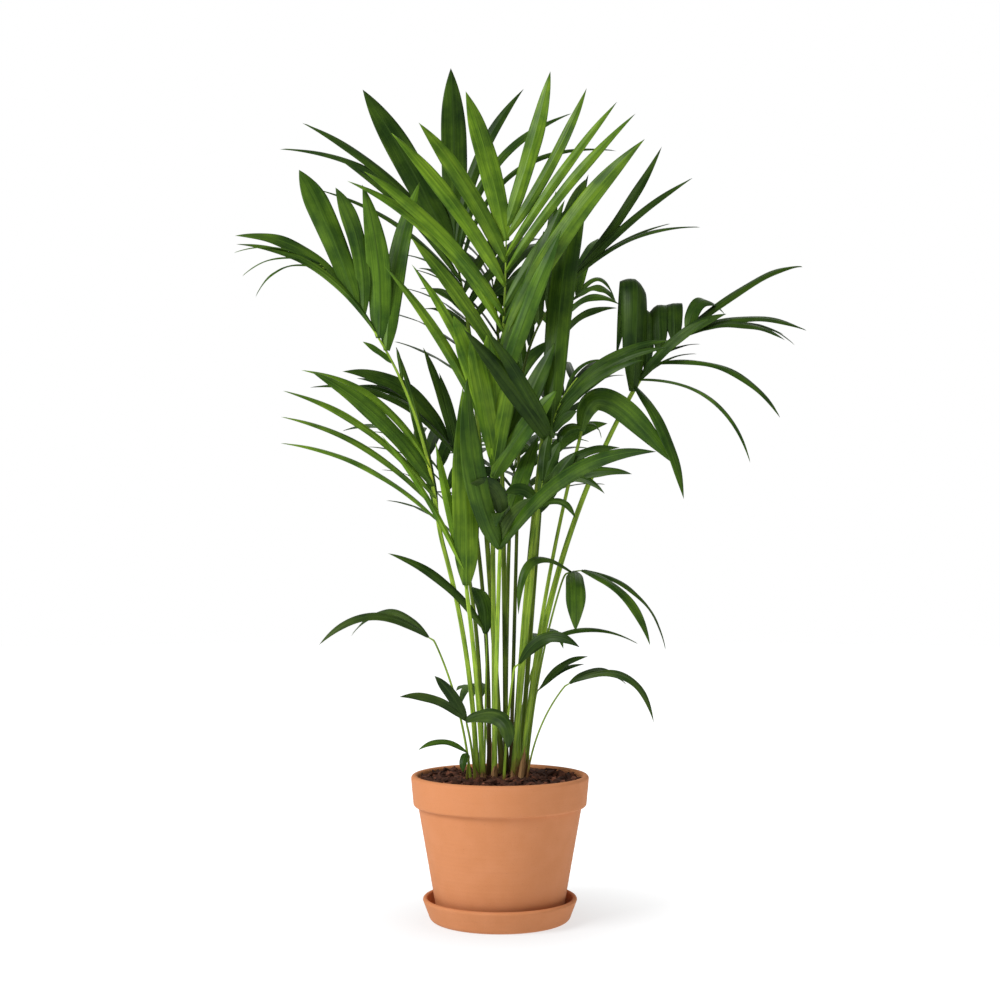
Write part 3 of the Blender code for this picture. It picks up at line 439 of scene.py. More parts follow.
def rachis_solid(frond):
    """Return a rachis's points and faces. It starts where the stem ends, a gap away."""
    ends, radii = stem_points(frond)
    along = (ends[-1] - ends[-2]).normalized()
    path = rachis_path(frond)
    rise = frond.rachis[3] * (path(1) - path(0)).length
    spans = max(2, round(math.sqrt(abs(rise) / RACHIS_STRAY)))
    points = [ends[-1] + along * GAP, ends[-1] + along * (GAP + STRAIGHT_START)]
    points += [path(i / spans) for i in range(spans + 1)]
    widths = [radii[-1], radii[-1]]
    widths += [between((radii[-1], RACHIS_TIP_RADIUS), i / spans) for i in range(spans + 1)]
    return tube(points, widths, RACHIS_SIDES)


def fan_leaflets(frond):
    """Yield each leaflet of a frond as plain sizes, worked out from its fans."""
    chance = random.Random(frond.name)
    for fan in frond.fans:
        for i in range(fan.count):
            share = i / (fan.count - 1) if fan.count > 1 else 0
            stray = chance.uniform(-1, 1) if frond.turn else 0
            yield (between(fan.at, share), between(fan.heading, share) + HEADING_STRAY * stray,
                   between(fan.lean, share) * (1 + LEAN_STRAY * stray),
                   between(fan.reach, share) * (1 + REACH_STRAY * stray),
                   between(fan.width, share), between(fan.bow, share), fan.face, fan.widest, fan.bend)


def tree_of(solid):
    """Return a search tree over a solid's faces, with its box, all in millimetres."""
    verts, faces = solid
    verts = [vert / MM for vert in verts]
    low = Vector([min(v[k] for v in verts) for k in range(3)])
    high = Vector([max(v[k] for v in verts) for k in range(3)])
    return BVHTree.FromPolygons(verts, faces), low, high


def touches(tree, others):
    """Say whether a solid crosses any of the others."""
    own, low, high = tree
    for other, other_low, other_high in others:
        if all(low[k] <= other_high[k] and high[k] >= other_low[k] for k in range(3)):
            if own.overlap(other):
                return True
    return False


def grow_leaflets():
    """Place every leaflet clear of the stems and the other fronds, and skip what can't be."""
    stems = [tree_of(stem_solid(frond)) for frond in FRONDS]
    placed = {frond.name: [tree_of(rachis_solid(frond))] for frond in FRONDS}
    grown = {}
    for frond in FRONDS:
        others = list(stems)
        for name, trees in placed.items():
            if name != frond.name:
                others += trees
        rachis = rachis_path(frond)
        grown[frond.name] = []
        for at, heading, lean, reach, width, bow, face, widest, bend in fan_leaflets(frond):
            root = rachis(at)
            for change in LEAN_TRIES:
                tip = reach_to(root, frond.turn, heading, lean + change, reach)
                leaflet = (arch(root, tip, bow, bend), frond.turn, width * MM, face, bow, widest)
                if not touches(tree_of(sleeve(leaflet)), others):
                    grown[frond.name].append(leaflet)
                    placed[frond.name].append(tree_of(blade(leaflet)))
                    break
    return grown


# Fine shapes.
BLADE_UNIT = 100
RIB_HEIGHT = 0.22
RIB_SHARE = 6
PLEAT_DEPTH = 0.3
BLADE_THICKNESS = 0.42
FINE_ROWS = 40
COARSE_ROWS = 26
WIDE_COLUMNS = 12
SLIM_COLUMNS = 8
SLIM_WIDTH = 13 * MM
LONG_LEAF = 170 * MM
EDGE_WAVE = 0.13
# How far the middle of a sharply hooked leaflet arches above its edges.
HOOK_ARCH = 0.85
STALK_SIDES = 16
STEM_ROWS = 46
RACHIS_ROWS = 30
STALK_SLIM = 0.8
FOOT_SWELL = 0.25
FOOT_SWELL_HEIGHT = 22 * MM
SHEATH_SIDES = 24
SHEATH_ROWS = 14
SHEATH_OPENING = 0.3
SHEATH_THICKNESS = 0.05
TURN_STEPS = 128
UV_SCALE = 10
LEAF_SHADES = (0.97, 0.8, 1.22, 0.92)
LEAF_ODDS = (4, 3, 2, 3)
UNDERSIDE = 1.25
RIB_SHADE = 0.92
FLOOR_RADIUS = 9


# Fronds that have another tone than their own, by their leaflets' numbers or all over, and the fronds whose
# stalks are lit or dead. The tones are lit and shaded copies of the leaf colour, so the first table paints
# light and shade leaflet by leaflet, and the lit stalks are painted lighter as painted light.
OTHER_TONES = {"left": ("bright", (0, 1, 2, 4)), "right_inner": ("mid", (2,)),
               "front_low": ("deep", (1, 2, 3)),
               "centre": ("mid", (16, 17, 19, 20, 21, 22)), "back_right": ("mid", None),
               "seedling_left": ("deep", None), "seedling_right": ("deep", None),
               "seedling_fan": ("deep", None)}
LIT_STALKS = ("front_low", "left", "front_blade", "right_small", "right_arch", "right_inner",
         "seedling_middle", "seedling_left", "seedling_right")
DEAD = ("back_right_high", "back_left")

# Dry sheaths: the frond they belong to, their height in millimetres, and how far they are
# turned round the stalk from the front, in degrees.
SHEATHS = [("right_small", 46, 15), ("front_low", 24, 30), ("centre", 54, -35), ("front_right", 16, -20),
           ("left", 22, -50), ("right_arch", 30, 75), ("front_blade", 14, 20), ("back_left", 40, 170),
           ("back_right", 36, 140), ("rear_high", 52, 190), ("rear_left", 44, 215),
           ("rear_arch", 48, 175), ("rear_right", 38, 120)]


def deselect():
    """Leave nothing selected, so that the next operator acts on its own piece alone."""
    if bpy.context.object and bpy.context.object.mode != "OBJECT":
        bpy.ops.object.mode_set(mode="OBJECT")
    bpy.ops.object.select_all(action="DESELECT")


def finish_piece(piece, name, slot, *nodes):
    """Name a piece, let it ride with the plant, and hide the nodes it stands for."""
    piece.name = name
    piece.data.name = name
    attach(piece, BODY)
    if nodes:
        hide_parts(*nodes)
    return piece


def mesh_piece(points, faces, indices, surfaces, uvs=None):
    """Link a new object made of arrays of points and faces, with a surface for each face."""
    mesh = bpy.data.meshes.new("piece")
    mesh.from_pydata(points, [], faces)
    for surface in surfaces:
        mesh.materials.append(surface)
    mesh.polygons.foreach_set("material_index", indices)
    if uvs is not None:
        layer = mesh.uv_layers.new(name="UVMap")
        corners = np.empty(len(mesh.loops), dtype=np.int32)
        mesh.loops.foreach_get("vertex_index", corners)
        layer.data.foreach_set("uv", uvs[corners].astype(np.float32).ravel())
    mesh.shade_smooth()
    made = bpy.data.objects.new("piece", mesh)
    bpy.context.scene.collection.objects.link(made)
    return made


def merge_doubles(piece, distance):
    """Merge a piece's points that fall together, as they do at the tips."""
    deselect()
    piece.select_set(True)
    bpy.context.view_layer.objects.active = piece
    bpy.ops.object.mode_set(mode="EDIT")
    bpy.ops.mesh.select_all(action="SELECT")
    bpy.ops.mesh.remove_doubles(threshold=distance)
    bpy.ops.mesh.select_all(action="SELECT")
    bpy.ops.mesh.dissolve_degenerate(threshold=distance)
    bpy.ops.object.mode_set(mode="OBJECT")


def lathe(profile, closed):
    """Model a turned piece as by hand: a ring is extruded from point to point of its profile."""
    deselect()
    radius, height = profile[0]
    bpy.ops.mesh.primitive_circle_add(vertices=TURN_STEPS, radius=radius, location=(0, 0, height))
    piece = bpy.context.object
    bpy.ops.object.transform_apply(location=True, rotation=True, scale=True)
    bpy.ops.object.mode_set(mode="EDIT")
    bpy.ops.mesh.select_all(action="SELECT")
    if not closed:
        bpy.ops.mesh.edge_face_add()
        bpy.ops.mesh.select_mode(type="EDGE")
    for (near, low), (far, high) in zip(profile, profile[1:]):
        bpy.ops.mesh.extrude_edges_move(TRANSFORM_OT_translate={"value": (0, 0, high - low)})
        share = far / near
        bpy.ops.transform.resize(value=(share, share, 1), center_override=(0, 0, 0))
    if not closed:
        bpy.ops.mesh.edge_face_add()
    bpy.ops.mesh.select_mode(type="VERT")
    bpy.ops.mesh.select_all(action="SELECT")
    bpy.ops.mesh.remove_doubles(threshold=0.01 * MM)
    bpy.ops.mesh.select_all(action="SELECT")
    bpy.ops.mesh.normals_make_consistent(inside=False)
    bpy.ops.object.mode_set(mode="OBJECT")
    bpy.ops.object.shade_smooth_by_angle(angle=math.radians(40))
    return piece


def arc(centre, radius, start, end, steps):
    """Return points on an arc, from one angle in degrees to another."""
    angles = [math.radians(start + (end - start) * i / steps) for i in range(steps + 1)]
    return [(centre[0] + radius * math.cos(a), centre[1] + radius * math.sin(a)) for a in angles]


def thrown_wall(start, end, depth):
    """Return points up a clay wall, with the faint rings that throwing leaves in it."""
    steps = max(2, round(math.dist(start, end) / THROW_STEP))
    points = []
    for i in range(steps + 1):
        share = i / steps
        height = start[1] + (end[1] - start[1]) * share
        ring = math.sin(height / THROW_PITCH * math.tau) + 0.6 * math.sin(height / THROW_PITCH * 2.3)
        fade = math.sin(math.pi * share) ** 0.5
        points.append((start[0] + (end[0] - start[0]) * share + depth * ring * fade, height))
    return points


def model_blade(columns, rows):
    """Model one flat leaflet as by hand: a grid with a raised midrib and pleats, given a thickness."""
    deselect()
    bpy.ops.mesh.primitive_grid_add(x_subdivisions=columns, y_subdivisions=rows, size=2 * BLADE_UNIT)
    blade_piece = bpy.context.object
    pitch = 2 * BLADE_UNIT / columns

    def pick(places):
        bpy.ops.mesh.select_all(action="DESELECT")
        bpy.ops.object.mode_set(mode="OBJECT")
        for vert in blade_piece.data.vertices:
            vert.select = any(abs(abs(vert.co.x) - place) < 1 for place in places)
        bpy.ops.object.mode_set(mode="EDIT")

    bpy.ops.object.mode_set(mode="EDIT")
    bpy.ops.mesh.select_mode(type="VERT")
    valleys = [pitch * i for i in range(2, columns // 2, 2)]
    pick(valleys)
    bpy.ops.transform.translate(value=(0, 0, -PLEAT_DEPTH))
    pick([0])
    bpy.ops.transform.translate(value=(0, 0, RIB_HEIGHT))
    pick([pitch])
    share = RIB_SHARE / pitch
    bpy.ops.transform.resize(value=(share, 1, 1), center_override=(0, 0, 0))
    bpy.ops.object.mode_set(mode="OBJECT")
    shell = blade_piece.modifiers.new("Thickness", "SOLIDIFY")
    shell.thickness = BLADE_THICKNESS
    shell.offset = -1
    shell.use_even_offset = False
    bpy.ops.object.modifier_apply(modifier=shell.name)
    mesh = blade_piece.data
    points = np.array([vert.co for vert in mesh.vertices])
    faces = np.array([tuple(face.vertices) for face in mesh.polygons])
    sides = []
    for face in mesh.polygons:
        upper = face.normal.z > 0.5
        rib = abs(face.center.x) < RIB_SHARE
        sides.append(2 if upper and rib else 0 if face.normal.z > -0.5 else 1)
    bpy.data.objects.remove(blade_piece)
    return points, faces, np.array(sides)


def fine_stations(leaflet, rows):
    """Return a leaflet's fine stations as an array: centre, across, above, half width and rise."""
    return np.array([(*centre, *across, *above, half, rise) for centre, across, above, half, rise
                     in stations(leaflet, [i / rows for i in range(rows + 1)])])


def lay_blade(master, leaflet, rows, chance):
    """Lay the modelled blade along a leaflet's path, and return its points and pattern map."""
    fine = fine_stations(leaflet, rows)
    length = path_length(leaflet[0])
    x = master[:, 0] / BLADE_UNIT
    t = (master[:, 1] / BLADE_UNIT + 1) / 2
    at = np.clip(np.rint(t * rows).astype(int), 0, rows)
    spot = fine[at]
    half, rise = spot[:, 9], spot[:, 10]
    thin = np.sqrt(np.clip(1 - t, 0, 1)) * np.minimum(1, 0.35 + half / (6 * MM))
    phase = chance.uniform(0, math.tau)
    wave = np.sin(t * math.tau * chance.uniform(1.2, 2.6) + phase + x * 0.9)
    edge = half * EDGE_WAVE * wave * x ** 2 * np.sqrt(np.clip(4 * t * (1 - t), 0, 1))
    arch = half * HOOK_ARCH * max(0, leaflet[4] - MOST_BENT) * (1 - x ** 2)
    arch *= np.sqrt(np.clip(4 * t * (1 - t), 0, 1))
    lift = rise * (1 - np.abs(x) ** 1.4) + edge + arch + master[:, 2] * MM * thin
    lift[t > 1 - 0.5 / rows] = 0
    points = spot[:, 0:3] + spot[:, 3:6] * (x * half)[:, None] + spot[:, 6:9] * lift[:, None]
    place = chance.uniform(0, 50)
    uvs = np.stack([x * half * UV_SCALE + place, t * length * UV_SCALE + place], axis=1)
    return points, uvs


def stalk_line(frond):
    """Return the points and radii of a whole stalk, from its foot through its crown to its tip."""
    stem, rachis = stem_path(frond), rachis_path(frond)
    points = [stem(i / STEM_ROWS) for i in range(STEM_ROWS)]
    points += [rachis(i / RACHIS_ROWS) for i in range(RACHIS_ROWS + 1)]
    radii = [between(frond.radii, i / STEM_ROWS) for i in range(STEM_ROWS)]
    tip = RACHIS_TIP_RADIUS / MM * 0.7
    radii += [between((frond.radii[1], tip), i / RACHIS_ROWS) for i in range(RACHIS_ROWS + 1)]
    for _ in range(8):
        inner = [(points[i - 1] + points[i] * 2 + points[i + 1]) / 4 for i in range(1, len(points) - 1)]
        points = [points[0]] + inner + [points[-1]]
    return points, [radius * STALK_SLIM * MM for radius in radii]


def model_stalk(rows):
    """Model one straight stalk as by hand: a ring with a flat front, extruded row by row."""
    deselect()
    bpy.ops.mesh.primitive_circle_add(vertices=STALK_SIDES, radius=1)
    stalk = bpy.context.object
    for vert in stalk.data.vertices:
        vert.co.y = max(vert.co.y, -0.72)
    bpy.ops.object.mode_set(mode="EDIT")
    bpy.ops.mesh.select_all(action="SELECT")
    bpy.ops.mesh.edge_face_add()
    bpy.ops.mesh.select_mode(type="EDGE")
    for _ in range(rows):
        bpy.ops.mesh.extrude_edges_move(TRANSFORM_OT_translate={"value": (0, 0, 1)})
    bpy.ops.mesh.edge_face_add()
    bpy.ops.mesh.select_all(action="SELECT")
    bpy.ops.mesh.normals_make_consistent(inside=False)
    bpy.ops.object.mode_set(mode="OBJECT")
    points = np.array([vert.co for vert in stalk.data.vertices])
    faces = [tuple(face.vertices) for face in stalk.data.polygons]
    bpy.data.objects.remove(stalk)
    return points, faces


def stalk_frames(frond):
    """Return frames along a frond's stalk: centre, side, back, radius and length run."""
    line, radii = stalk_line(frond)
    side = Vector((1, 0, 0))
    frames = []
    run = 0
    for i, point in enumerate(line):
        along = (line[min(i + 1, len(line) - 1)] - line[max(i - 1, 0)]).normalized()
        side = (side - along * side.dot(along)).normalized()
        back = along.cross(side)
        run += (point - line[max(i - 1, 0)]).length
        swell = 1 + FOOT_SWELL * math.exp(-run / FOOT_SWELL_HEIGHT)
        frames.append((*point, *side, *back, radii[i] * swell, run))
    return np.array(frames)


def lay_stalk(master, frond):
    """Lay the modelled stalk along a frond's line, and return its points and pattern map."""
    at = np.rint(master[:, 2]).astype(int)
    spot = stalk_frames(frond)[at]
    radius = spot[:, 9]
    turn = np.arctan2(master[:, 1], master[:, 0])
    points = (spot[:, 0:3] + spot[:, 3:6] * (master[:, 0] * radius)[:, None]
              + spot[:, 6:9] * (master[:, 1] * radius)[:, None])
    uvs = np.stack([turn * 4 * MM * UV_SCALE, spot[:, 10] * UV_SCALE], axis=1)
    return points, uvs


def model_sheath():
    """Model one dry sheath as by hand: part of a ring, extruded upwards and given a thickness."""
    deselect()
    bpy.ops.mesh.primitive_circle_add(vertices=SHEATH_SIDES, radius=1)
    sheath = bpy.context.object
    bpy.ops.object.mode_set(mode="EDIT")
    bpy.ops.mesh.select_all(action="DESELECT")
    bpy.ops.object.mode_set(mode="OBJECT")
    for vert in sheath.data.vertices:
        vert.select = vert.co.y > SHEATH_OPENING
    bpy.ops.object.mode_set(mode="EDIT")
    bpy.ops.mesh.delete(type="VERT")
    bpy.ops.mesh.select_mode(type="EDGE")
    bpy.ops.mesh.select_all(action="SELECT")
    for _ in range(SHEATH_ROWS):
        bpy.ops.mesh.extrude_edges_move(TRANSFORM_OT_translate={"value": (0, 0, 1 / SHEATH_ROWS)})
    bpy.ops.mesh.select_all(action="SELECT")
    bpy.ops.mesh.normals_make_consistent(inside=False)
    bpy.ops.object.mode_set(mode="OBJECT")
    shell = sheath.modifiers.new("Thickness", "SOLIDIFY")
    shell.thickness = SHEATH_THICKNESS
    shell.offset = 1
    bpy.ops.object.modifier_apply(modifier=shell.name)
    points = np.array([vert.co for vert in sheath.data.vertices])
    faces = [tuple(face.vertices) for face in sheath.data.polygons]
    bpy.data.objects.remove(sheath)
    return points, faces


def lay_sheath(master, frond, height, spin, chance):
    """Wrap the modelled sheath round the foot of a stalk, torn and curling at its top."""
    frames = stalk_frames(frond)
    share = master[:, 2]
    turn = np.arctan2(-master[:, 0], -master[:, 1])
    out = np.hypot(master[:, 0], master[:, 1])
    torn = np.sin(turn * chance.uniform(2, 4) + chance.uniform(0, 6)) * 0.5
    torn += np.sin(turn * chance.uniform(7, 11) + chance.uniform(0, 6)) * 0.3
    run = share * height * (1 + 0.3 * torn * share)
    turn = turn * (1 - 0.75 * share ** 2) + math.radians(spin)
    spot = np.stack([np.interp(run, frames[:, 10], frames[:, k]) for k in range(10)], axis=1)
    radius = spot[:, 9] * out * (1.06 + 0.12 * (1 - share) + 0.3 * share ** 4)
    points = (spot[:, 0:3] + spot[:, 3:6] * (np.sin(turn) * radius)[:, None]
              - spot[:, 6:9] * (np.cos(turn) * radius)[:, None])
    uvs = np.stack([turn * 4 * MM * UV_SCALE, run * UV_SCALE], axis=1)
    return points, uvs


# Shader groups and materials.

def new_group(name, inputs, outputs):
    """Return a new shader group with named inputs and outputs."""
    group = bpy.data.node_groups.new(name, "ShaderNodeTree")
    for label, kind, value in inputs:
        socket = group.interface.new_socket(label, in_out="INPUT", socket_type="NodeSocket" + kind)
        if value is not None:
            socket.default_value = value
    for label, kind in outputs:
        group.interface.new_socket(label, in_out="OUTPUT", socket_type="NodeSocket" + kind)
    start = group.nodes.new("NodeGroupInput")
    end = group.nodes.new("NodeGroupOutput")
    return group, start.outputs, end.inputs


def make_fibre_group():
    """Make the group of long streaks that leaves, stalks and thrown clay share."""
    group, given, result = new_group("Fibre", [
        ("Vector", "Vector", None), ("Across", "Float", 60), ("Along", "Float", 2)],
        [("Streaks", "Float")])
    nodes, links = group.nodes, group.links
    stretch = nodes.new("ShaderNodeCombineXYZ")
    links.new(given["Across"], stretch.inputs["X"])
    links.new(given["Along"], stretch.inputs["Y"])
    links.new(given["Along"], stretch.inputs["Z"])
    scaled = nodes.new("ShaderNodeVectorMath")
    scaled.operation = "MULTIPLY"
    links.new(given["Vector"], scaled.inputs[0])
    links.new(stretch.outputs["Vector"], scaled.inputs[1])
    grain = nodes.new("ShaderNodeTexNoise")
    grain.inputs["Scale"].default_value = 1
    grain.inputs["Detail"].default_value = 3
    links.new(scaled.outputs["Vector"], grain.inputs["Vector"])
    links.new(grain.outputs["Fac"], result["Streaks"])
    return group


def make_mottle_group():
    """Make the group of soft patches that lie between two colours."""
    group, given, result = new_group("Mottle", [
        ("Vector", "Vector", None), ("Scale", "Float", 20), ("Base", "Color", (1, 1, 1, 1)),
        ("Patch", "Color", (0, 0, 0, 1)), ("From", "Float", 0.4), ("To", "Float", 0.7)],
        [("Color", "Color"), ("Mask", "Float")])
    nodes, links = group.nodes, group.links
    grain = nodes.new("ShaderNodeTexNoise")
    grain.inputs["Detail"].default_value = 5
    links.new(given["Vector"], grain.inputs["Vector"])
    links.new(given["Scale"], grain.inputs["Scale"])
    span = nodes.new("ShaderNodeMapRange")
    links.new(grain.outputs["Fac"], span.inputs["Value"])
    links.new(given["From"], span.inputs["From Min"])
    links.new(given["To"], span.inputs["From Max"])
    mix = nodes.new("ShaderNodeMix")
    mix.data_type = "RGBA"
    links.new(span.outputs["Result"], mix.inputs["Factor"])
    links.new(given["Base"], mix.inputs["A"])
    links.new(given["Patch"], mix.inputs["B"])
    links.new(mix.outputs["Result"], result["Color"])
    links.new(span.outputs["Result"], result["Mask"])
    return group


def shader_group(name):
    """Return a shared shader group, made when it is first asked for."""
    makers = {"Fibre": make_fibre_group, "Mottle": make_mottle_group}
    return bpy.data.node_groups.get(name) or makers[name]()


def new_surface(name, roughness, specular):
    """Return a new material with its node tree and its shader's inputs."""
    surface = bpy.data.materials.new(name)
    surface.use_nodes = True
    shader = surface.node_tree.nodes["Principled BSDF"]
    shader.inputs["Roughness"].default_value = roughness
    shader.inputs["Specular IOR Level"].default_value = specular
    return surface, surface.node_tree, shader.inputs


def add_group(tree, name, vector, **values):
    """Place a shared group in a material, with its own values."""
    node = tree.nodes.new("ShaderNodeGroup")
    node.node_tree = shader_group(name)
    tree.links.new(vector, node.inputs["Vector"])
    for label, value in values.items():
        if isinstance(value, bpy.types.NodeSocket):
            tree.links.new(value, node.inputs[label])
        else:
            node.inputs[label].default_value = value
    return node.outputs


def shade(colour, factor):
    """Return a colour made lighter or darker, with its alpha."""
    return tuple(min(1, channel * factor) for channel in colour[:3]) + (1,)


def add_bump(tree, height, strength, distance, inputs):
    """Feed a height into the shader's normal."""
    bump = tree.nodes.new("ShaderNodeBump")
    bump.inputs["Strength"].default_value = strength
    bump.inputs["Distance"].default_value = distance
    tree.links.new(height, bump.inputs["Height"])
    tree.links.new(bump.outputs["Normal"], inputs["Normal"])


def add_range(tree, value, low, high, to_low, to_high):
    """Return a value carried from one range to another."""
    node = tree.nodes.new("ShaderNodeMapRange")
    for label, given in (("From Min", low), ("From Max", high), ("To Min", to_low), ("To Max", to_high)):
        node.inputs[label].default_value = given
    tree.links.new(value, node.inputs["Value"])
    return node.outputs["Result"]


def add_tint(tree, colour, mask, low, high, tint):
    """Return a colour that takes a tint where a mask is low and none where it is high."""
    ramp = tree.nodes.new("ShaderNodeValToRGB")
    ramp.color_ramp.elements[0].position = low
    ramp.color_ramp.elements[0].color = (*tint, 1)
    ramp.color_ramp.elements[1].position = high
    mix = tree.nodes.new("ShaderNodeMix")
    mix.data_type = "RGBA"
    mix.blend_type = "MULTIPLY"
    mix.inputs["Factor"].default_value = 1
    tree.links.new(mask, ramp.inputs["Fac"])
    tree.links.new(colour, mix.inputs["A"])
    tree.links.new(ramp.outputs["Color"], mix.inputs["B"])
    return mix.outputs["Result"]


def make_leaf_surface(name, colour, roughness, gloss):
    """Make a leaf's surface: fine veins and broad bands along it, soft patches that are partly real mottling
    and partly painted light and painted shadow, a waxy gloss.
    """
    surface, tree, inputs = new_surface(name, roughness, gloss)
    place = tree.nodes.new("ShaderNodeUVMap")
    place.uv_map = "UVMap"
    veins = add_group(tree, "Fibre", place.outputs["UV"], Across=46, Along=0.5)
    bands = add_group(tree, "Fibre", place.outputs["UV"], Across=14, Along=1.1)
    # Painted shadow and painted light: the darker and the lighter colours of the soft patches stand in for
    # dappled shade and light on the leaflet, as well as its own mottling.
    deep = (colour[0] * 0.68, colour[1] * 0.76, colour[2] * 0.9, 1)
    light = (colour[0] * 1.75, colour[1] * 1.55, colour[2] * 1.4, 1)
    patches = add_group(tree, "Mottle", place.outputs["UV"], Scale=2.2, Base=deep, Patch=light,
                        From=0.36, To=0.6)
    banded = add_tint(tree, patches["Color"], bands["Streaks"], 0.36, 0.6, (0.58, 0.68, 0.6))
    veined = add_tint(tree, banded, veins["Streaks"], 0.38, 0.6, (0.66, 0.71, 0.64))
    tree.links.new(veined, inputs["Base Color"])
    tree.links.new(add_range(tree, veins["Streaks"], 0.3, 0.7, roughness + 0.1, roughness - 0.06),
                   inputs["Roughness"])
    add_bump(tree, veins["Streaks"], 0.35, 0.3 * MM, inputs)
    return surface


def make_rib_surface(name, colour):
    """Make the paler surface of a leaf's midrib."""
    surface, tree, inputs = new_surface(name, 0.5, 0.15)
    place = tree.nodes.new("ShaderNodeUVMap")
    place.uv_map = "UVMap"
    veins = add_group(tree, "Fibre", place.outputs["UV"], Across=90, Along=1.5)
    ramp = tree.nodes.new("ShaderNodeValToRGB")
    ramp.color_ramp.elements[0].position = 0.3
    ramp.color_ramp.elements[0].color = shade(colour, 0.8)
    ramp.color_ramp.elements[1].position = 0.7
    ramp.color_ramp.elements[1].color = shade(colour, 1.15)
    tree.links.new(veins["Streaks"], ramp.inputs["Fac"])
    tree.links.new(ramp.outputs["Color"], inputs["Base Color"])
    add_bump(tree, veins["Streaks"], 0.3, 0.2 * MM, inputs)
    return surface


def make_stalk_surface(name, colour, foot_colour, foot_height):
    """Make a stalk's surface: smooth green with fine lines and yellow patches, and a brown foot."""
    surface, tree, inputs = new_surface(name, 0.42, 0.15)
    place = tree.nodes.new("ShaderNodeTexCoord")
    split = tree.nodes.new("ShaderNodeSeparateXYZ")
    tree.links.new(place.outputs["Object"], split.inputs["Vector"])
    lines = add_group(tree, "Fibre", place.outputs["UV"], Across=90, Along=1.2)
    bands = add_group(tree, "Fibre", place.outputs["UV"], Across=26, Along=2.2)
    patches = add_group(tree, "Mottle", place.outputs["Object"], Scale=12, Base=shade(colour, 0.72),
                        Patch=shade(colour, 1.3), From=0.36, To=0.64)
    banded = add_tint(tree, patches["Color"], bands["Streaks"], 0.38, 0.56, (0.46, 0.56, 0.5))
    ageing = add_group(tree, "Mottle", place.outputs["Object"], Scale=11, Base=banded,
                       Patch=(colour[0] * 1.45, colour[1] * 1.25, colour[2] * 1.2, 1), From=0.64, To=0.7)
    wander = tree.nodes.new("ShaderNodeMath")
    wander.operation = "MULTIPLY_ADD"
    wander.inputs[1].default_value = -0.05
    tree.links.new(patches["Mask"], wander.inputs[0])
    tree.links.new(split.outputs["Z"], wander.inputs[2])
    old = add_range(tree, wander.outputs["Value"], SOIL_TOP - 0.02, SOIL_TOP + foot_height, 1, 0)
    mix = tree.nodes.new("ShaderNodeMix")
    mix.data_type = "RGBA"
    mix.inputs["B"].default_value = (*foot_colour, 1)
    tree.links.new(old, mix.inputs["Factor"])
    tree.links.new(ageing["Color"], mix.inputs["A"])
    tree.links.new(mix.outputs["Result"], inputs["Base Color"])
    tree.links.new(add_range(tree, lines["Streaks"], 0.3, 0.7, 0.52, 0.34), inputs["Roughness"])
    add_bump(tree, lines["Streaks"], 0.4, 0.3 * MM, inputs)
    return surface


def make_sheath_surface(name, colour):
    """Make a dry sheath's surface: papery tan with brown fibres along it."""
    surface, tree, inputs = new_surface(name, 0.8, 0.15)
    place = tree.nodes.new("ShaderNodeUVMap")
    place.uv_map = "UVMap"
    fibres = add_group(tree, "Fibre", place.outputs["UV"], Across=70, Along=2)
    ramp = tree.nodes.new("ShaderNodeValToRGB")
    ramp.color_ramp.elements[0].position = 0.35
    ramp.color_ramp.elements[0].color = shade(colour, 0.45)
    ramp.color_ramp.elements[1].position = 0.62
    ramp.color_ramp.elements[1].color = shade(colour, 1.15)
    tree.links.new(fibres["Streaks"], ramp.inputs["Fac"])
    tree.links.new(ramp.outputs["Color"], inputs["Base Color"])
    add_bump(tree, fibres["Streaks"], 0.6, 0.4 * MM, inputs)
    return surface


def make_clay_surface(name, colour):
    """Make the fired clay: soft warm patches, fine specks, throwing streaks and a matt grain."""
    surface, tree, inputs = new_surface(name, 0.78, 0.3)
    place = tree.nodes.new("ShaderNodeTexCoord")
    where = place.outputs["Object"]
    clouds = add_group(tree, "Mottle", where, Scale=9, Base=shade(colour, 0.98), Patch=shade(colour, 1.02))
    pale = (*(min(1, channel * 1.01 + 0.01) for channel in colour), 1)
    bloom = add_group(tree, "Mottle", where, Scale=38, Base=clouds["Color"], Patch=pale)
    specks = add_group(tree, "Mottle", where, Scale=900, Base=bloom["Color"], Patch=shade(colour, 0.7))
    specks["Color"].node.inputs["From"].default_value = 0.62
    specks["Color"].node.inputs["To"].default_value = 0.78
    tree.links.new(specks["Color"], inputs["Base Color"])
    rings = add_group(tree, "Fibre", where, Across=2, Along=1)
    turn = tree.nodes.new("ShaderNodeVectorMath")
    turn.operation = "MULTIPLY"
    turn.inputs[1].default_value = (1, 1, 160)
    tree.links.new(where, turn.inputs[0])
    tree.links.new(turn.outputs["Vector"], rings["Streaks"].node.inputs["Vector"])
    grain = tree.nodes.new("ShaderNodeTexNoise")
    grain.inputs["Scale"].default_value = 700
    tree.links.new(where, grain.inputs["Vector"])
    height = tree.nodes.new("ShaderNodeMath")
    height.operation = "MULTIPLY_ADD"
    height.inputs[1].default_value = 0.35
    tree.links.new(grain.outputs["Fac"], height.inputs[0])
    tree.links.new(rings["Streaks"], height.inputs[2])
    add_bump(tree, height.outputs["Value"], 0.35, 0.5 * MM, inputs)
    tree.links.new(add_range(tree, grain.outputs["Fac"], 0.3, 0.7, 0.86, 0.7), inputs["Roughness"])
    return surface


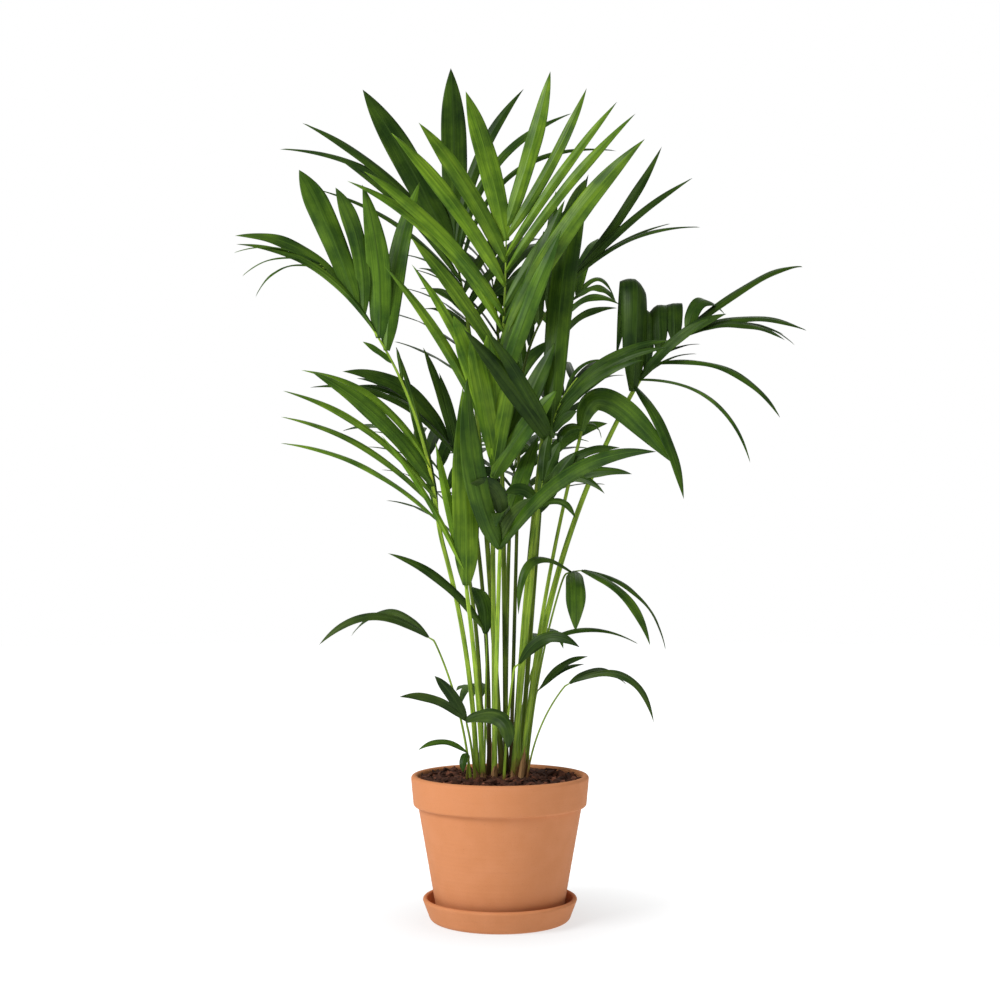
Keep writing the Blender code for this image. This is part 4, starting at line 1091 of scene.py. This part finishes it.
def make_bark_surface(name, colour):
    """Make a bark chip's surface: rough, fibrous and uneven in colour."""
    surface, tree, inputs = new_surface(name, 0.85, 0.25)
    place = tree.nodes.new("ShaderNodeTexCoord")
    where = place.outputs["Object"]
    patches = add_group(tree, "Mottle", where, Scale=160, Base=shade(colour, 0.6), Patch=shade(colour, 1.5))
    fibres = add_group(tree, "Fibre", where, Across=220, Along=900)
    tree.links.new(patches["Color"], inputs["Base Color"])
    add_bump(tree, fibres["Streaks"], 0.7, 0.8 * MM, inputs)
    return surface


def clay_surface(context):
    """Return the clay that the pot and the saucer share."""
    return bpy.data.materials.get("clay") or make_clay_surface("clay", context.scene.palm_clay.colour)


def make_floor_surface():
    """Make the white floor, which glows with painted light, weakly near the plant and fully away from it
    until no edge shows.
    """
    surface, tree, inputs = new_surface("floor", 0.9, 0.1)
    inputs["Base Color"].default_value = (0.3, 0.31, 0.32, 1)
    place = tree.nodes.new("ShaderNodeTexCoord")
    length = tree.nodes.new("ShaderNodeVectorMath")
    length.operation = "LENGTH"
    tree.links.new(place.outputs["Object"], length.inputs[0])
    # Painted light: the floor's own glow, weaker near the plant, lights the plant from below and whitens the
    # floor's far edge.
    far = add_range(tree, length.outputs["Value"], 0.12, 0.42, 0.66, 1)
    tree.links.new(far, inputs["Emission Color"])
    inputs["Emission Strength"].default_value = 1
    return surface


def soil_height(x, y):
    """Return the height of the soil's lumpy surface at a place."""
    radius = math.hypot(x, y)
    mound = 5 * MM * math.exp(-((radius / (55 * MM)) ** 2))
    lumps = noise.noise(Vector((x, y, 0)) * 60) * 2.2 * MM + noise.noise(Vector((x, y, 3)) * 170) * 1.2 * MM
    return SOIL_TOP + mound + lumps - 1 * MM


def model_chip(seed):
    """Model one bark chip as by hand: a cube with cut corners and uneven faces."""
    deselect()
    bpy.ops.mesh.primitive_cube_add(size=1)
    chip = bpy.context.object
    bpy.ops.object.mode_set(mode="EDIT")
    bpy.ops.mesh.select_all(action="SELECT")
    bpy.ops.mesh.bevel(offset=0.16, segments=1, affect="EDGES")
    bpy.ops.object.mode_set(mode="OBJECT")
    chance = random.Random(seed)
    skew = (chance.uniform(-0.35, 0.35), chance.uniform(-0.3, 0.3))
    for vert in chip.data.vertices:
        vert.co.x += skew[0] * vert.co.y
        vert.co.y += skew[1] * vert.co.x
        vert.co += noise.noise_vector(vert.co * 1.7 + Vector((seed * 7, 0, 0))) * 0.22
    points = [tuple(vert.co) for vert in chip.data.vertices]
    faces = [tuple(face.vertices) for face in chip.data.polygons]
    bpy.data.objects.remove(chip)
    return points, faces


# Settings that a user would change.

class PalmClay(bpy.types.PropertyGroup):
    """Finish of the pot and saucer."""
    colour: FloatVectorProperty(
        name="Clay", description="Colour of the fired clay", subtype="COLOR", min=0, max=1,
        default=(0.575, 0.223, 0.089))
    ring_depth: FloatProperty(
        name="Throwing rings", description="How far the throwing rings stand out of the wall",
        default=0.0001, min=0, max=0.001, subtype="DISTANCE", precision=5)


class PalmSoil(bpy.types.PropertyGroup):
    """Bark and soil in the pot."""
    colour: FloatVectorProperty(
        name="Bark", description="Colour of the bark chips", subtype="COLOR", min=0, max=1,
        default=(0.085, 0.03, 0.016))
    chips: IntProperty(name="Chips", description="Number of bark chips", default=950, min=0, max=3000)


class PalmStalks(bpy.types.PropertyGroup):
    """Stalks and the dry sheaths at their feet."""
    colour: FloatVectorProperty(
        name="Stalk", description="Colour of the stalks", subtype="COLOR", min=0, max=1,
        default=(0.19, 0.285, 0.026))
    foot_colour: FloatVectorProperty(
        name="Foot", description="Colour of the stalks near the soil", subtype="COLOR", min=0, max=1,
        default=(0.16, 0.07, 0.025))
    sheath_colour: FloatVectorProperty(
        name="Sheath", description="Colour of the dry sheaths", subtype="COLOR", min=0, max=1,
        default=(0.36, 0.2, 0.085))


class PalmLeaves(bpy.types.PropertyGroup):
    """Colours and gloss of the leaflets. The backlit, shaded and shadowed colours are lit and shaded copies
    of the leaf colour: painted light and painted shade.
    """
    # Painted light: the backlit colour is a lighter yellow-green that stands in for the light falling through
    # the leaflets.
    bright: FloatVectorProperty(
        name="Bright", description="Colour of the leaflets that the light falls through",
        subtype="COLOR", min=0, max=1, default=(0.098, 0.188, 0.012))
    mid: FloatVectorProperty(
        name="Mid", description="Colour of the leaflets in open light", subtype="COLOR", min=0, max=1,
        default=(0.046, 0.101, 0.008))
    # Painted shade: the shaded colour is for the small low leaflets and the seedlings in the shade of the
    # crown.
    deep: FloatVectorProperty(
        name="Deep", description="Colour of the young leaflets in the shade", subtype="COLOR", min=0,
        max=1, default=(0.039, 0.074, 0.013))
    # Painted shade: the shadowed colour makes the leaflets at the back and on the right, away from the key
    # light, darker.
    dark: FloatVectorProperty(
        name="Dark", description="Colour of the old leaflets", subtype="COLOR", min=0, max=1,
        default=(0.0285, 0.064, 0.0065))
    roughness: FloatProperty(
        name="Roughness", description="Roughness of the wax on a leaflet", default=0.4, min=0, max=1,
        subtype="FACTOR")


class PalmStage(bpy.types.PropertyGroup):
    """Camera and soft studio light."""
    distance: FloatProperty(
        name="Distance", description="Distance of the camera from the stem", default=2.34, min=0.5,
        max=10, subtype="DISTANCE")
    height: FloatProperty(
        name="Height", description="Height of the camera above the floor", default=0.529, min=0,
        max=3, subtype="DISTANCE")
    rise: FloatProperty(
        name="Rise", description="Upward shift of the level camera's view, as a share of its width",
        default=0.071, min=-0.5, max=0.5)
    lens: FloatProperty(name="Lens", description="Focal length in millimetres", default=55.4, min=10, max=200)
    key: FloatProperty(name="Key light", description="Power of the main soft light", default=92, min=0)
    fill: FloatProperty(name="Fill light", description="Power of the second soft light", default=7, min=0)
    dome: FloatProperty(name="Dome", description="Strength of the light from all sides", default=0.33, min=0)


# Operators, one for each piece or group of like pieces.

class PALM_OT_saucer(bpy.types.Operator):
    """Make the clay saucer"""
    bl_idname = "palm.saucer"
    bl_label = "Saucer"

    def execute(self, context):
        low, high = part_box("saucer")
        lip_radius = high[0]
        lip = SAUCER_WALL / 2
        corner = SAUCER_CORNER
        base = SAUCER_BASE_RADIUS
        inner = base + corner - SAUCER_WALL
        profile = [(0.5 * MM, 0), (base * 0.5, 0)]
        profile += arc((base, corner), corner, -90, -18, 8)
        start, end = profile[-1], (lip_radius, high[2] - lip)
        profile += thrown_wall(start, end, context.scene.palm_clay.ring_depth)[1:]
        profile += arc((lip_radius - lip, high[2] - lip), lip, 12, 180, 12)
        profile += arc((inner - SAUCER_FILLET, SAUCER_FLOOR + SAUCER_FILLET), SAUCER_FILLET, 0, -90, 5)
        profile += [(base * 0.5, SAUCER_FLOOR), (0.5 * MM, SAUCER_FLOOR)]
        saucer = lathe(profile, False)
        saucer.data.materials.append(clay_surface(context))
        finish_piece(saucer, "clay_saucer", "terracotta", "saucer")
        return {"FINISHED"}


class PALM_OT_pot(bpy.types.Operator):
    """Make the clay pot with its rim band"""
    bl_idname = "palm.pot"
    bl_label = "Pot"

    def execute(self, context):
        low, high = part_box("pot")
        rim, top, foot = high[0], high[2], low[2]
        depth = context.scene.palm_clay.ring_depth
        lip = POT_WALL / 2
        band_foot = top - POT_BAND_HEIGHT
        inner_top = rim - POT_WALL
        inner_foot = POT_BASE_RADIUS - POT_WALL + 3 * MM
        floor = foot + POT_FLOOR
        profile = [(DRAIN_RADIUS, foot), (POT_BASE_RADIUS * 0.6, foot)]
        profile += arc((POT_BASE_RADIUS - 1 * MM, foot + 3 * MM), 3 * MM, -90, 0, 5)
        profile += thrown_wall(profile[-1], (POT_NECK_RADIUS, band_foot - 1.5 * MM), depth)[1:]
        profile += [(POT_NECK_RADIUS + 0.6 * MM, band_foot - 0.3 * MM)]
        profile += arc((POT_BAND_RADIUS - 4 * MM, band_foot + 4 * MM), 4 * MM, -90, 0, 6)
        profile += thrown_wall(profile[-1], (rim, top - lip), depth)[1:]
        profile += arc((rim - lip, top - lip), lip, 12, 180, 12)
        profile += thrown_wall((inner_top, top - lip - 2 * MM), (inner_top, band_foot + POT_SHOULDER), depth)
        profile += [(inner_top - 4 * MM, band_foot - POT_SHOULDER), (inner_foot, floor + 5 * MM)]
        profile += [(inner_foot - 5 * MM, floor), (DRAIN_RADIUS, floor), (DRAIN_RADIUS, foot)]
        pot = lathe(profile, True)
        pot.data.materials.append(clay_surface(context))
        finish_piece(pot, "clay_pot", "terracotta", "pot")
        return {"FINISHED"}


class PALM_OT_soil(bpy.types.Operator):
    """Make the mound of soil in the pot"""
    bl_idname = "palm.soil"
    bl_label = "Soil"

    def execute(self, context):
        low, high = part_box("soil")
        radius, foot = high[0], low[2]
        base = radius - 34 * MM
        steps = 36
        profile = [(0.5 * MM, foot), (base, foot), (radius - 4 * MM, SOIL_TOP - 45 * MM)]
        profile += [(radius, SOIL_TOP - 30 * MM), (radius, SOIL_TOP - 8 * MM)]
        profile += [(radius * (1 - i / steps) + 0.5 * MM, SOIL_TOP) for i in range(1, steps + 1)]
        soil = lathe(profile, False)
        for vert in soil.data.vertices:
            if vert.co.z > SOIL_TOP - 1 * MM:
                vert.co.z = soil_height(vert.co.x, vert.co.y)
        colour = context.scene.palm_soil.colour
        soil.data.materials.append(make_bark_surface("soil", shade(colour, 0.6)[:3]))
        finish_piece(soil, "soil_mound", "bark_soil", "soil")
        return {"FINISHED"}


class PALM_OT_chips(bpy.types.Operator):
    """Strew bark chips over the soil"""
    bl_idname = "palm.chips"
    bl_label = "Bark chips"

    def execute(self, context):
        settings = context.scene.palm_soil
        masters = [model_chip(seed) for seed in range(5)]
        chance = random.Random("chips")
        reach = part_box("soil")[1][0] - 6 * MM
        points, faces, indices = [], [], []
        for _ in range(settings.chips):
            radius = reach * math.sqrt(chance.random())
            angle = chance.uniform(0, math.tau)
            x, y = radius * math.cos(angle), radius * math.sin(angle)
            size = chance.triangular(4, 19, 8) * MM
            stretch = Vector((size, size * chance.uniform(0.4, 0.75), size * chance.uniform(0.18, 0.4)))
            turn = Euler((chance.gauss(0, 0.35), chance.gauss(0, 0.35), chance.uniform(0, math.tau)))
            centre = Vector((x, y, soil_height(x, y) + chance.uniform(0, 0.3) * size))
            verts, chip_faces = chance.choice(masters)
            start = len(points)
            for vert in verts:
                point = Vector(vert) * stretch
                point.rotate(turn)
                points.append(centre + point)
            faces += [tuple(i + start for i in face) for face in chip_faces]
            indices += [chance.choices(range(4), (4, 3, 2, 1))[0]] * len(chip_faces)
        shades = (0.8, 1.25, 0.5, 2.3)
        surfaces = [make_bark_surface(f"bark_{i}", shade(settings.colour, shades[i])[:3]) for i in range(4)]
        chips = mesh_piece(points, faces, indices, surfaces)
        chips.data.set_sharp_from_angle(angle=math.radians(30))
        finish_piece(chips, "bark_chips", "bark_soil")
        return {"FINISHED"}


class PALM_OT_stalks(bpy.types.Operator):
    """Make the stalk of each frond"""
    bl_idname = "palm.stalks"
    bl_label = "Stalks"

    def execute(self, context):
        settings = context.scene.palm_stalks
        foot = settings.foot_colour
        # Lit and shaded copies of the stalk colour: the lit stalks are painted lighter, as painted light, and
        # the old stalks at the back are painted darker, as painted shade, with their brown foot higher. The
        # dead stalks are blackish brown.
        lit_skin = make_stalk_surface("fresh_stalk", shade(settings.colour, 1.32)[:3], foot, 0.005)
        plain = make_stalk_surface("stalk", settings.colour, foot, 0.005)
        old = make_stalk_surface("old_stalk", shade(settings.colour, 0.58)[:3], foot, 0.03)
        dead = make_stalk_surface("dead_stalk", shade(settings.colour, 0.3)[:3], shade(foot, 0.4)[:3], 0.12)
        master, faces = model_stalk(STEM_ROWS + RACHIS_ROWS)
        for frond in FRONDS:
            points, uvs = lay_stalk(master, frond)
            skin = old if frond.tone == "dark" and frond.foot[1] > 0 else plain
            skin = lit_skin if frond.name in LIT_STALKS else dead if frond.name in DEAD else skin
            stalk = mesh_piece(points, faces, [0] * len(faces), [skin], uvs)
            stalk.data.set_sharp_from_angle(angle=math.radians(60))
            finish_piece(stalk, "stalk_" + frond.name, "stem", "stem_" + frond.name)
        return {"FINISHED"}


class PALM_OT_sheaths(bpy.types.Operator):
    """Wrap dry sheaths round the feet of some stalks"""
    bl_idname = "palm.sheaths"
    bl_label = "Dry sheaths"

    def execute(self, context):
        master, master_faces = model_sheath()
        chance = random.Random("sheaths")
        points, faces, uvs = [], [], []
        for name, height, spin in SHEATHS:
            frond = next(frond for frond in FRONDS if frond.name == name)
            laid, pattern = lay_sheath(master, frond, height * MM, spin, chance)
            start = sum(len(part) for part in points)
            faces += [tuple(i + start for i in face) for face in master_faces]
            points.append(laid)
            uvs.append(pattern)
        surface = make_sheath_surface("sheath", context.scene.palm_stalks.sheath_colour)
        sheaths = mesh_piece(np.concatenate(points), faces, [0] * len(faces), [surface], np.concatenate(uvs))
        finish_piece(sheaths, "dry_sheaths", "stem")
        return {"FINISHED"}


class PALM_OT_leaflets(bpy.types.Operator):
    """Make the leaflets of each frond"""
    bl_idname = "palm.leaflets"
    bl_label = "Leaflets"

    def execute(self, context):
        settings = context.scene.palm_leaves
        masters = {(columns, rows): model_blade(columns, rows)
                   for columns in (SLIM_COLUMNS, WIDE_COLUMNS) for rows in (COARSE_ROWS, FINE_ROWS)}
        gloss = {"bright": 0.13, "mid": 0.14, "deep": 0.12, "dark": 0.1}
        surfaces = {}
        for tone in gloss:
            colour = getattr(settings, tone)
            shades = [make_leaf_surface(f"{tone}_leaf_{i}", shade(colour, factor), settings.roughness,
                                        gloss[tone]) for i, factor in enumerate(LEAF_SHADES)]
            under = make_leaf_surface(f"{tone}_leaf_under", shade(colour, UNDERSIDE), 0.55, gloss[tone])
            surfaces[tone] = shades + [under, make_rib_surface(f"{tone}_leaf_rib", shade(colour, RIB_SHADE))]
        under_index, rib_index = len(LEAF_SHADES), len(LEAF_SHADES) + 1
        for name, leaflets in grow_leaflets().items():
            frond = next(frond for frond in FRONDS if frond.name == name)
            other, numbers = OTHER_TONES.get(name, (frond.tone, ()))
            chance = random.Random("fine " + name)
            points, faces, indices, uvs = [], [], [], []
            count = 0
            for number, leaflet in enumerate(leaflets):
                columns = SLIM_COLUMNS if leaflet[2] < SLIM_WIDTH else WIDE_COLUMNS
                rows = FINE_ROWS if path_length(leaflet[0]) > LONG_LEAF else COARSE_ROWS
                master, master_faces, sides = masters[(columns, rows)]
                laid, pattern = lay_blade(master, leaflet, rows, chance)
                shade_index = chance.choices(range(len(LEAF_SHADES)), LEAF_ODDS)[0]
                points.append(laid)
                uvs.append(pattern)
                faces.append(master_faces + count)
                second = len(LEAF_SHADES) + 2 if numbers is None or number in numbers else 0
                indices.append(np.choose(sides, [shade_index, under_index, rib_index]) + second)
                count += len(laid)
            skins = surfaces[frond.tone] + (surfaces[other] if other != frond.tone else [])
            blades = mesh_piece(np.concatenate(points), np.concatenate(faces).tolist(),
                                np.concatenate(indices), skins, np.concatenate(uvs))
            merge_doubles(blades, 0.01 * MM)
            finish_piece(blades, "leaflets_" + name, "leaf_" + frond.tone, "frond_" + name)
        return {"FINISHED"}


class PALM_OT_stage(bpy.types.Operator):
    """Set the floor, the soft studio light and the camera"""
    bl_idname = "palm.stage"
    bl_label = "Stage"

    def execute(self, context):
        settings = context.scene.palm_stage
        deselect()
        bpy.ops.mesh.primitive_circle_add(vertices=96, radius=FLOOR_RADIUS, fill_type="NGON")
        floor = context.object
        floor.name = "floor"
        floor.data.materials.append(make_floor_surface())
        aim = Vector((0, 0, 0.62))
        for name, place, size, power in (
                ("key", (-2.05, -1.6, 2.3), 1.5, settings.key),
                ("fill", (2.1, -1.3, 1.5), 1.6, settings.fill),
                ("back", (0.6, 2.0, 2.4), 1.4, settings.fill)):
            bpy.ops.object.light_add(type="AREA", location=place)
            light = context.object
            light.name = name
            light.data.energy = power
            light.data.size = size
            light.rotation_euler = (aim - Vector(place)).to_track_quat("-Z", "Y").to_euler()
        world = context.scene.world or bpy.data.worlds.new("studio")
        context.scene.world = world
        world.use_nodes = True
        tree = world.node_tree
        sky = tree.nodes["Background"]
        path = tree.nodes.new("ShaderNodeLightPath")
        tree.links.new(add_range(tree, path.outputs["Is Camera Ray"], 0, 1, settings.dome, 1),
                       sky.inputs["Strength"])
        sky.inputs["Color"].default_value = (1, 1, 1, 1)
        bpy.ops.object.camera_add(location=(0, -settings.distance, settings.height),
                                  rotation=(math.pi / 2, 0, 0))
        camera = context.object
        camera.data.lens = settings.lens
        camera.data.sensor_width = 36
        camera.data.shift_y = settings.rise
        context.scene.camera = camera
        context.scene.view_settings.view_transform = "Standard"
        return {"FINISHED"}


class PALM_PT_panel(bpy.types.Panel):
    """Lists the settings and the operators of the palm"""
    bl_label = "Potted Kentia Palm"
    bl_idname = "PALM_PT_panel"
    bl_space_type = "VIEW_3D"
    bl_region_type = "UI"
    bl_category = "Palm"

    def draw(self, context):
        for group in (context.scene.palm_clay, context.scene.palm_soil, context.scene.palm_stalks,
                      context.scene.palm_leaves, context.scene.palm_stage):
            box = self.layout.box()
            for name in group.__annotations__:
                box.prop(group, name)
        for operator in STEPS:
            self.layout.operator(operator.bl_idname)


SETTINGS = {"palm_clay": PalmClay, "palm_soil": PalmSoil, "palm_stalks": PalmStalks,
            "palm_leaves": PalmLeaves, "palm_stage": PalmStage}
STEPS = [PALM_OT_saucer, PALM_OT_pot, PALM_OT_soil, PALM_OT_chips, PALM_OT_stalks, PALM_OT_sheaths,
         PALM_OT_leaflets, PALM_OT_stage]


def register():
    """Register the settings, the operators and the panel."""
    for kind in [*SETTINGS.values(), *STEPS, PALM_PT_panel]:
        bpy.utils.register_class(kind)
    for name, kind in SETTINGS.items():
        setattr(bpy.types.Scene, name, PointerProperty(type=kind))


def unregister():
    """Take the settings, the operators and the panel away."""
    for name in SETTINGS:
        delattr(bpy.types.Scene, name)
    for kind in [PALM_PT_panel, *STEPS, *SETTINGS.values()]:
        bpy.utils.unregister_class(kind)


def main():
    """Make the whole palm and its stage."""
    register()
    bpy.ops.palm.saucer()
    bpy.ops.palm.pot()
    bpy.ops.palm.soil()
    bpy.ops.palm.chips()
    bpy.ops.palm.stalks()
    bpy.ops.palm.sheaths()
    bpy.ops.palm.leaflets()
    bpy.ops.palm.stage()


if __name__ == "__main__":
    main()
